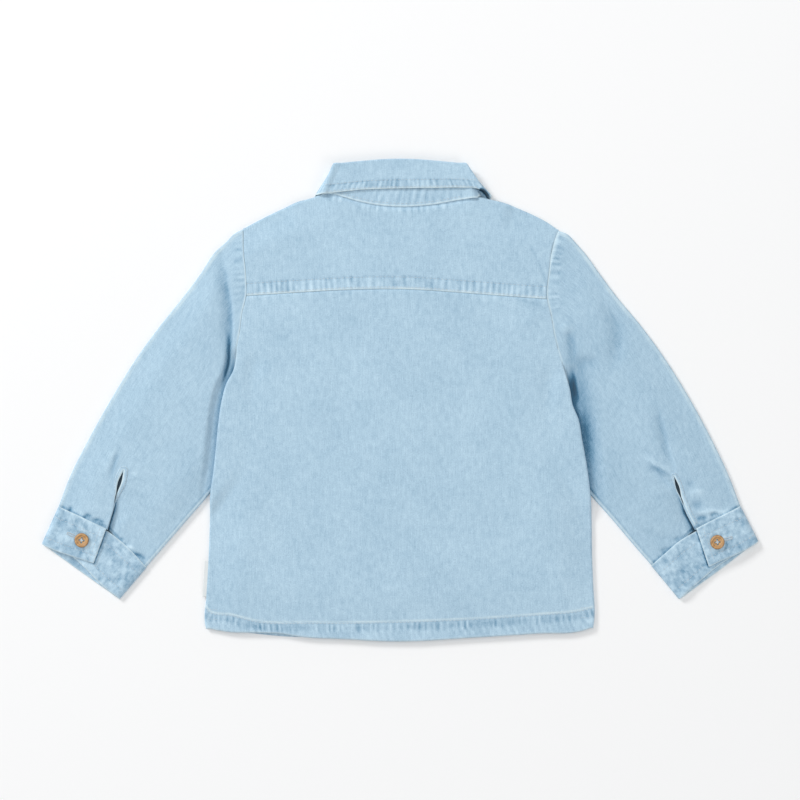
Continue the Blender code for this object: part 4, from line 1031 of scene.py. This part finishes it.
def makeCollar():
    rows = collarRows + [mirrored(row) for row in collarRows[-2::-1]]
    keys = ("top", "roll", "edge", "z", "leaf")
    top, roll, edge, low, high = roundNeck(rows, keys, "roll", collarParts["columns"])
    # the left end of the fall is drawn in and covers the stand
    edge[:, 0] += collarParts["drawnIn"] * fade((-50 - edge[:, 0]) / 18) * fade((edge[:, 1] - 142) / 20)
    behind = fade((high[:, 0] - 2.6) / 2)
    edge[:, 1] += behind * (curve(collarEdge, edge[:, 0]) - edge[:, 1])
    start = top + (roll - top) / np.linalg.norm(roll - top, axis=1)[:, None] * 0.3
    out = (roll - edge) / np.linalg.norm(roll - edge, axis=1)[:, None]
    bend = np.abs(high - low) / 2
    near = roll - out * (bend + cloth["thick"] / 2)
    lines = []
    for share in np.linspace(0, 1, 6):
        lines.append(np.concatenate([start + (near - start) * share, low], axis=1))
    for angle in np.radians((20, 40, 60, 80, 100, 120, 140, 160)):
        lines.append(np.concatenate([near + out * bend * math.sin(angle),
                                     low + (high - low) * (1 - math.cos(angle)) / 2], axis=1))
    deep = collarParts["deep"]
    leafRows = uneven(deep, collarParts["step"], [(deep, 2, 0.5), (deep - 7, 1, 0.6)])
    for share in leafRows:
        lines.append(np.concatenate([near + (edge - near) * share, high], axis=1))
    grid = np.array(lines)
    x, y = grid[..., 0], grid[..., 1]
    size = np.linalg.norm(edge - near, axis=1)[None, :]
    hidden = len(lines) - len(leafRows)
    fromEdge = np.minimum(np.concatenate([np.full(hidden, 99.0), 1 - leafRows])[:, None] * size, 90)
    goneRound = lengthAlong(edge)
    band = fade((collarParts["stitch"] + 2.0 - fromEdge) / 2.5)
    value = ridges(81, goneRound, fromEdge, 4.6, 0.1) * band
    groove = stripe(fromEdge, 0.8, at=collarParts["stitch"])
    cloudy = rough(84, x / 16, y / 12)
    # ridges are painted lighter and hollows darker (partly faded roping, partly painted highlight and shade),
    # and the stitch groove darker as painted shade
    tone = (collarParts["ridgeTone"] * value - collarParts["grooveTone"] * groove
            + collarParts["cloudTone"] * cloudy - collarParts["bandTone"] * band)
    wear = stripe(fromEdge, 1.0) * (0.8 + 0.2 * rough(83, goneRound / 7))
    ends = np.minimum(goneRound, goneRound[:, -1:] - goneRound)
    wear = np.maximum(wear, collarParts["endWear"] * stripe(ends, 0.8))
    fromGap = toLine(x, y, dense(collarGap, 1.0))[0]
    tone -= collarParts["gapShade"] * stripe(fromGap, 0.9)
    wear *= 1 - stripe(fromGap, 1.4)
    upper = fade((high[:, 0] - 5) / 1.2)[None, :]
    rise = collarParts["ridge"] * value - collarParts["groove"] * groove
    rise += collarParts["cloud"] * cloudy * fade(fromEdge / 6)
    grid[..., 2] += (rise - collarParts["edgeDrop"] * fade(1 - fromEdge)) * upper
    return makeShell("collarLeafCloth", grid, "collar", marks=dict(tone=tone, wear=wear))


standParts = dict(columns=300, deep=20, step=0.85, overlap=15, ridge=0.17, ridgeTone=0.42, wear=0.5)


def makeStand():
    ends = [dict(seam=(-10.0, 109.0), top=(-8.6, 128.6), z=1.95)]
    rows = ends + collarRows + [mirrored(row) for row in collarRows[-2::-1]] + [mirrored(ends[0])]
    seam, top, z = roundNeck(rows, ("seam", "top", "z"), "top", standParts["columns"])
    back = fade((z[:, 0] - 4.2) / 0.5)
    seam[:, 1] += (curve(shoulderAndNeck, seam[:, 0]) - 0.9 - seam[:, 1]) * back
    down = uneven(standParts["deep"], standParts["step"], [(0, 1.5, 0.5), (standParts["deep"], 1.5, 0.5)])
    grid = np.array([np.concatenate([seam + (top - seam) * share, z], axis=1) for share in down])
    x, y = grid[..., 0], grid[..., 1]
    ridge = buttonLift(x, y) * (z[:, 0] < 2.4)[None, :]
    grid[..., 2] = np.maximum(grid[..., 2], cloth["rest"] + ridge)
    first = (np.arange(len(z)) < len(z) / 3)[None, :]
    lapping = first * fade((standParts["overlap"] - x) / 3.5)
    grid[..., 2] += cloth["level"] * lapping
    goneRound = lengthAlong(top)
    fromSeam = down[:, None] * np.linalg.norm(top - seam, axis=1)[None, :]
    # its ridges are painted lighter and its hollows darker: partly faded roping, partly painted highlight and
    # shade
    value = ridges(91, goneRound, fromSeam, 5.0, 0.25)
    wear = standParts["wear"] * stripe(fromSeam, 0.8, at=0.6)
    grid[..., 2] += standParts["ridge"] * value * back[None, :]
    return makeShell("collarStandCloth", grid, "collar_stand",
                     marks=dict(tone=standParts["ridgeTone"] * value, wear=wear))


def surfaceOf(*pieces):
    # height of the cloth's outer face at x, y, from above or from below
    bpy.context.view_layer.update()
    depsgraph = bpy.context.evaluated_depsgraph_get()
    points, faces = [], []
    for piece in pieces:
        mesh = piece.evaluated_get(depsgraph).to_mesh()
        base = len(points)
        points += [tuple(vertex.co) for vertex in mesh.vertices]
        faces += [[base + index for index in face.vertices] for face in mesh.polygons]
        piece.evaluated_get(depsgraph).to_mesh_clear()
    tree = BVHTree.FromPolygons(points, faces)

    def heightAt(x, y, fromAbove=True):
        sign = 1 if fromAbove else -1
        hit = tree.ray_cast(Vector((x * mm, y * mm, sign * 0.05)), Vector((0, 0, -sign)))
        return None if hit[0] is None else hit[0].z / mm
    return heightAt


def sampleHeights(heightAt, x, y, fromAbove=True, missing=0.0):
    values = [heightAt(a, b, fromAbove) for a, b in zip(np.ravel(x), np.ravel(y))]
    found = [value for value in values if value is not None]
    middle = float(np.median(found)) if found else missing
    return np.array([middle if value is None else value for value in values]).reshape(np.shape(x))


thread = dict(length=2.3, gap=0.75, width=0.46, proud=0.16, sides=6)


def addStrand(points, faces, line, across, radii, sides):
    # adds a round strand of thread through the points of a line
    base = len(points)
    for (x, y, z), radius in zip(line, radii):
        for turn in range(sides):
            angle = 2 * math.pi * turn / sides
            out, up = math.cos(angle) * radius, math.sin(angle) * radius
            points.append(((x + across[0] * out) * mm, (y + across[1] * out) * mm, (z + up) * mm))
    for ring in range(len(line) - 1):
        for turn in range(sides):
            a, b = base + ring * sides + turn, base + ring * sides + (turn + 1) % sides
            faces.append((a, b, b + sides, a + sides))
    faces.append(tuple(base + turn for turn in reversed(range(sides))))
    faces.append(tuple(base + (len(line) - 1) * sides + turn for turn in range(sides)))


def stitchMesh(paths, heightAt, fromAbove=True, look=None):
    # one short spindle of thread for each stitch along some paths
    look = dict(thread, **(look or {}))
    points, faces = [], []
    stations = ((0.0, 0.25), (0.16, 0.8), (0.5, 1.0), (0.84, 0.8), (1.0, 0.25))
    sign = 1 if fromAbove else -1
    for path in paths:
        path = np.array(path, float)
        steps = np.linalg.norm(np.diff(path, axis=0), axis=1)
        gone = np.concatenate([[0], np.cumsum(steps)])
        at = look["gap"]
        while at + look["length"] < gone[-1]:
            middle = []
            for share, _ in stations:
                spot = at + share * look["length"]
                middle.append((np.interp(spot, gone, path[:, 0]), np.interp(spot, gone, path[:, 1])))
            heights = [heightAt(x, y, fromAbove) for x, y in middle]
            at += look["length"] + look["gap"]
            if any(height is None for height in heights) or max(heights) - min(heights) > 1.2:
                continue
            way = np.subtract(middle[-1], middle[0])
            way = way / np.linalg.norm(way)
            line, radii = [], []
            for (share, wide), (x, y), height in zip(stations, middle, heights):
                dip = look["proud"] * (1 - (2 * share - 1) ** 4) - look["width"] * 0.3
                line.append((x, y, height + sign * dip))
                radii.append(look["width"] / 2 * wide)
            addStrand(points, faces, line, (-way[1], way[0]), radii, look["sides"])
    return points, faces


def plainPiece(name, points, faces, material):
    piece = meshObject(name, points, faces)
    piece.data.shade_smooth()
    piece.data.materials.append(materials[material])
    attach(piece, "root")
    return piece


def sew(name, paths, heightAt, fromAbove=True, look=None):
    plainPiece(name, *stitchMesh(paths, heightAt, fromAbove, look), "thread")


# share down the opening, outer reach of the binding on its +x and its -x side
bindingReach = {
    -1: [(0.0, 3.6, 3.6), (0.1, 4.3, 4.2), (0.25, 4.2, 3.4), (0.45, 2.4, 1.6), (0.6, 0.9, 0.7),
         (1.0, 0.8, 0.6)],
    1: [(0.0, 3.0, 2.0), (0.1, 3.6, 1.8), (0.4, 3.4, 1.0), (0.7, 3.2, 0.7), (1.0, 3.0, 0.6)]}
bindingParts = dict(thick=0.5, rise=0.3, inner=0.35, innerWear=0.7, outerWear=0.35, tone=0.3, edgeTone=0.35)


def bindingPath(side, reach, samples=48):
    # up one side of the opening, round its top and down the other; the share down it comes last
    shares = np.linspace(1.03, 0.0, samples)
    past = np.maximum(shares - 1, 0)[:, None] * 48
    line = along(slits[side], shares) + past * np.array([side * 0.38, -0.92])
    tangent = np.gradient(line, axis=0)
    tangent /= np.linalg.norm(tangent, axis=1)[:, None]
    normal = np.stack([tangent[:, 1], -tangent[:, 0]], axis=1)
    inner = bindingParts["inner"] + slitHole(shares)
    table = np.array(bindingReach[side])
    plus, minus = (inner + (np.interp(shares, table[:, 0], table[:, column]) - inner * 0.6) * reach
                   for column in (1, 2))
    first, second = line + normal * plus[:, None], (line - normal * minus[:, None])[::-1]
    turn = np.radians(np.arange(12, 180, 12))[:, None]
    size = plus[-1] + (minus[-1] - plus[-1]) * turn / math.pi
    top = line[-1] + size * (np.cos(turn) * normal[-1] + np.sin(turn) * tangent[-1])
    return np.concatenate([first, top, second]), np.concatenate([shares, np.zeros(len(turn)), shares[::-1]])


def makeBinding(side, heightAt):
    reaches = (0.0, 0.06, 0.2, 0.4, 0.6, 0.8, 0.94, 1.0)
    strip = np.array([bindingPath(side, reach)[0] for reach in reaches])
    down = bindingPath(side, 0)[1][None, :]
    x, y = strip[..., 0], strip[..., 1]
    z = sampleHeights(heightAt, x, y)
    z[:2] = np.minimum(z[:2], z[2] + 0.2)
    z[:4] = np.maximum(z[:4], z[4] - 0.6)
    for _ in range(4):
        z[:, 1:-1] = (z[:, :-2] + z[:, 1:-1] + z[:, 2:]) / 3
    edgeDown = np.array([0.55, 0.15, 0, 0, 0, 0.04, 0.22, 0.5])[:, None]
    place = np.arange(x.shape[1])[None, :]
    plusSide = place < x.shape[1] / 2
    # below the opening's loop the binding lies inside the sleeve, but not on the right sleeve's lapping side
    hidden = fade((down - 0.45) / 0.15) * np.where(plusSide & (side > 0), 0.0, 1.0)
    z = z + bindingParts["rise"] - edgeDown - 1.3 * hidden - 1.5 * fade((down - 0.93) / 0.06)
    z += 0.06 * rough(101, place / 3, 0)
    reach = np.array(reaches)[:, None] + np.zeros(x.shape)
    wear = (bindingParts["innerWear"] * stripe(reach, 0.25)
            + bindingParts["outerWear"] * stripe(reach, 0.12, at=1.0))
    tone = (bindingParts["tone"] * rough(103, place / 4, reach * 2)
            - bindingParts["edgeTone"] * stripe(reach, 0.1, at=0.86))
    grid = np.stack([x, y, z], axis=-1)
    word = sideNames[side]
    return makeShell("binding" + word + "Cloth", grid, "sleeve_binding_" + word.lower(),
                     marks=dict(wear=wear, tone=tone), thick=bindingParts["thick"])


def makeLabel():
    y = np.linspace(labelParts["low"], labelParts["high"], 60)
    edge = sideX(-1, y)
    apart, steps = labelParts["apart"], (2.0, 1.0, 0.0, -0.8, -1.6, -2.4)
    turn = np.radians(np.linspace(0, 180, 9))[1:-1]
    lines = [(edge + into, apart) for into in steps]
    lines += [(edge - 2.7 - 0.3 * math.sin(angle), apart * math.cos(angle)) for angle in turn]
    lines += [(edge + into, -apart) for into in reversed(steps)]
    bow = 0.25 * np.sin((y - y[0]) / (y[-1] - y[0]) * math.pi) + 0.1 * rough(111, y / 6)
    grid = np.array([np.stack([x, y, labelParts["z"] + bow + up], axis=-1) for x, up in lines])
    makeShell("sideLabelTape", grid, "side_label", thick=labelParts["thick"], material="label")


buttonParts = dict(radius=5.7, thick=1.9, sunk=0.62, sides=64, hole=0.86, spacing=1.22, threadRadius=0.2,
                   strandGap=0.24, onCuff=5.95)


def makeButton(name, node, place, facing, seed):
    r, t = buttonParts["radius"], buttonParts["thick"]
    sunk, sides = buttonParts["sunk"], buttonParts["sides"]
    profile = [(0.6, t - sunk), (2.4, t - sunk), (3.3, t - 0.58), (3.75, t - 0.38), (4.05, t - 0.1),
               (4.35, t), (4.8, t + 0.02), (5.25, t - 0.06), (5.55, t - 0.32), (r, t - 0.75), (5.62, 0.55),
               (5.35, 0.2), (4.9, 0.02), (3.0, 0.0), (0.6, 0.0)]
    points, faces, rim = [(0, 0, t - sunk)], [], [0.0]
    for radius, z in profile:
        for turn in range(sides):
            angle = 2 * math.pi * turn / sides
            points.append((radius * math.cos(angle), radius * math.sin(angle), z))
        rim += [float(0.45 * fade((radius - 4.7) / 0.9) + 0.3 * stripe(radius, 0.25, at=3.7))] * sides
    points.append((0, 0, 0.0))
    rim.append(0.0)
    last = len(points) - 1
    for turn in range(sides):
        after = (turn + 1) % sides
        faces.append((0, 1 + turn, 1 + after))
        for ring in range(len(profile) - 1):
            a, b = 1 + ring * sides + turn, 1 + ring * sides + after
            faces.append((a, a + sides, b + sides, b))
        start = 1 + (len(profile) - 1) * sides
        faces.append((last, start + after, start + turn))
    button = plainPiece(name, [tuple(value * mm for value in point) for point in points], faces, "wood")
    spot = button.data.attributes.new("rim", "FLOAT", "POINT")
    spot.data.foreach_set("value", np.array(rim, np.float32))
    drill = holeDrill(name + "Drill")
    cut = button.modifiers.new("holes", "BOOLEAN")
    cut.object, cut.operation, cut.solver = drill, "DIFFERENCE", "EXACT"
    bpy.context.view_layer.update()
    drilled = bpy.data.meshes.new_from_object(button.evaluated_get(bpy.context.evaluated_depsgraph_get()))
    button.modifiers.clear()
    button.data = drilled
    bpy.data.objects.remove(drill)
    drilled.set_sharp_from_angle(angle=math.radians(50))
    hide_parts(node)
    turn = math.radians(45 + seed * 7)
    tie = makeButtonThread(name + "Thread")
    for piece in (button, tie):
        piece.location = [value * mm for value in place]
        piece.rotation_euler = (0 if facing > 0 else math.pi, 0, turn)


def holeDrill(name):
    points, faces = [], []
    sides, s, r = 14, buttonParts["spacing"], buttonParts["hole"]
    for sx, sy in ((1, 1), (1, -1), (-1, -1), (-1, 1)):
        start = len(points)
        for z in (-1.0, buttonParts["thick"] + 1.0):
            for turn in range(sides):
                a = 2 * math.pi * turn / sides
                points.append(((sx * s + r * math.cos(a)) * mm, (sy * s + r * math.sin(a)) * mm, z * mm))
        faces.append([start + turn for turn in reversed(range(sides))])
        faces.append([start + sides + turn for turn in range(sides)])
        for turn in range(sides):
            after = (turn + 1) % sides
            faces.append([start + turn, start + after, start + sides + after, start + sides + turn])
    return meshObject(name, points, faces)


def makeButtonThread(name):
    # two crossed ties of three strands between opposite holes
    points, faces = [], []
    span = buttonParts["spacing"] * math.sqrt(2) * 0.94
    level = buttonParts["thick"] - buttonParts["sunk"] + 0.04
    shares = np.linspace(-1, 1, 13)
    for cross, (dx, dy) in enumerate(((1, 1), (1, -1))):
        way = np.array([dx, dy]) / math.sqrt(2)
        across = np.array([-way[1], way[0]])
        for strand in (-1, 0, 1):
            line = []
            for share in shares:
                x, y = way * share * span + across * strand * buttonParts["strandGap"]
                up = level + 0.12 * cross + 0.14 * (1 - share ** 4) + 0.05 * (strand == 0)
                line.append((x, y, up - 1.6 * fade((abs(share) - 0.86) / 0.14)))
            addStrand(points, faces, line, across, [buttonParts["threadRadius"]] * len(line), 8)
    return plainPiece(name, points, faces, "thread")


buttonholeLook = dict(length=1.3, gap=0.02, width=0.5, proud=0.28)
tackLook = dict(length=1.4, gap=0.7)
tackPlaces = [(-155.0, -167.2), (-154.8, -175.2), (144.0, -166.0), (144.0, -174.0)]
openingLook = dict(length=1.7, gap=0.7, width=0.4)
underLook = dict(length=2.3, gap=0.75, width=0.3, proud=0.02)
# the free end of each cuff's buttonhole, from its button
buttonholeEnds = {-1: (-11.2, 5.6), 1: (11.6, 3.4)}


def cuffPaths(side, *downs):
    # lines on the outer wall of a cuff, at some depths below its sleeve edge, clear of the flap's end
    stations = along(cuffStations[side], np.linspace(0, 1, cuffParts["points"]))
    paths = []
    for down in downs:
        line = stations[:, :2] + (stations[:, 2:4] - stations[:, :2]) * down / cuffParts["deep"]
        beyond = -side * toLine(*line.T, [tuple(stations[0, :2]), tuple(stations[0, 2:4])])[0]
        under = (np.arange(len(line)) >= cuffParts["underStart"]) & (beyond > cuffParts["clear"])
        paths += [[tuple(point) for point in part] for part in (line[:cuffParts["upperEnd"]], line[under])]
    return paths


def buttonholePaths(start, end):
    # close stitches across a slot, with a bar at its free end
    way = np.subtract(end, start)
    size = np.linalg.norm(way)
    way = way / size
    across = np.array([-way[1], way[0]])
    paths = []
    for at in np.arange(0.4, size, 0.52):
        for sign in (-1, 1):
            middle = np.array(start) + way * at + across * sign * 0.85
            paths.append([tuple(middle - across * 0.75), tuple(middle + across * 0.75)])
    for shift in (-0.2, 0.25, 0.7):
        middle = np.array(start) - way * shift
        paths.append([tuple(middle - across * 1.6), tuple(middle + across * 1.6)])
    return paths


def sewBack(back, yoke):
    surface = surfaceOf(back, yoke)
    lines = [shifted(hemLine, -1.2), shifted(yokeLine, yokeParts["topstitch"]), shifted(yokeLine, 1.6)]
    sew("backStitches", lines, surface)
    sew("hemTacks", [[(x, y), (x + 10.4, y - 0.6)] for x, y in tackPlaces], surface, look=tackLook)


def sewCollar(leaf, stand):
    fallLine = dense(collarEdge[1:-2])
    lines = [shifted(fallLine, collarParts["stitch"]), shifted(fallLine, 1.5)]
    sew("collarStitches", lines, surfaceOf(leaf))
    sew("standStitches", [shifted(neckLine, 1.8)], surfaceOf(stand))


def sewSleeveEnd(side, sleeve, cuff, binding):
    surface, word = surfaceOf(cuff), sideNames[side].lower()
    paths = cuffPaths(side, cuffParts["seamStitch"], cuffParts["deep"] - cuffParts["lowerStitch"])
    end = np.array(cuffStations[side][:2])
    first = end[0] + (end[1] - end[0]) * cuffParts["endStitch"]
    paths.append([tuple(first[:2] * 0.97 + first[2:4] * 0.03), tuple(first[:2] * 0.03 + first[2:4] * 0.97)])
    sew(word + "CuffStitches", paths, surface)
    # the binding is stitched where it shows
    loop, down = bindingPath(side, 0.84)
    shown = down < (0.58 if side < 0 else 0.97)
    shown &= (np.arange(len(shown)) < len(loop) // 2) | (down < 0.5)
    sew(word + "OpeningStitches", [loop[shown]], surfaceOf(binding, sleeve), look=openingLook)
    x, y = cuffButtons[side]
    slot = buttonholePaths(np.add((x, y), buttonholeEnds[side]), (x - side * 0.5, y))
    sew(word + "Buttonhole", slot, surface, look=buttonholeLook)


def sewFronts(fronts):
    half = cloth["placketHalf"]
    seam, high, low = half - frontParts["bandStitch"], frontParts["bandTop"], frontParts["bandLow"]
    for side, word in sideNames.items():
        hemTable = tableLine(frontHem, -side * half, side * 152)
        paths = [[(side * seam, high), (side * seam, low)], shifted(hemTable, side * frontParts["hemStitch"])]
        if side < 0:
            paths.append([(seam, high), (seam, low)])
        sew("front" + word + "Stitches", paths, surfaceOf(fronts[side]), fromAbove=False, look=underLook)
    slots = []
    for x, y in frontButtons[1:]:
        slots += buttonholePaths((x, y + frontParts["slotUp"]), (x, y - frontParts["slotDown"]))
    sew("frontButtonholes", slots, surfaceOf(fronts[-1]), fromAbove=False, look=buttonholeLook)


def buildShirt():
    back, yoke = makeBack(), makeYoke()
    print("back and yoke ready")
    fronts = makeFronts()
    print("fronts ready")
    sleeves = {side: makeSleeve(side) for side in (-1, 1)}
    print("sleeves ready")
    cuffs = {side: makeCuff(side) for side in (-1, 1)}
    leaf, stand = makeCollar(), makeStand()
    print("cuffs and collar ready")
    bindings = {side: makeBinding(side, surfaceOf(sleeves[side])) for side in (-1, 1)}
    makeLabel()
    for side, word in sideNames.items():
        place = (*cuffButtons[side], buttonParts["onCuff"])
        makeButton("cuffButton" + word, "cuff_button_" + word.lower(), place, 1, side)
    for number, (x, y) in enumerate(frontButtons, start=1):
        place = (x, y, buttonParts["thick"])
        makeButton(f"frontButton{number}", f"front_button_{number}", place, -1, number)
    print("bindings, label and buttons ready")
    sewBack(back, yoke)
    sewCollar(leaf, stand)
    for side in (-1, 1):
        sewSleeveEnd(side, sleeves[side], cuffs[side], bindings[side])
    sewFronts(fronts)
    print("stitches ready")


buildShirt()
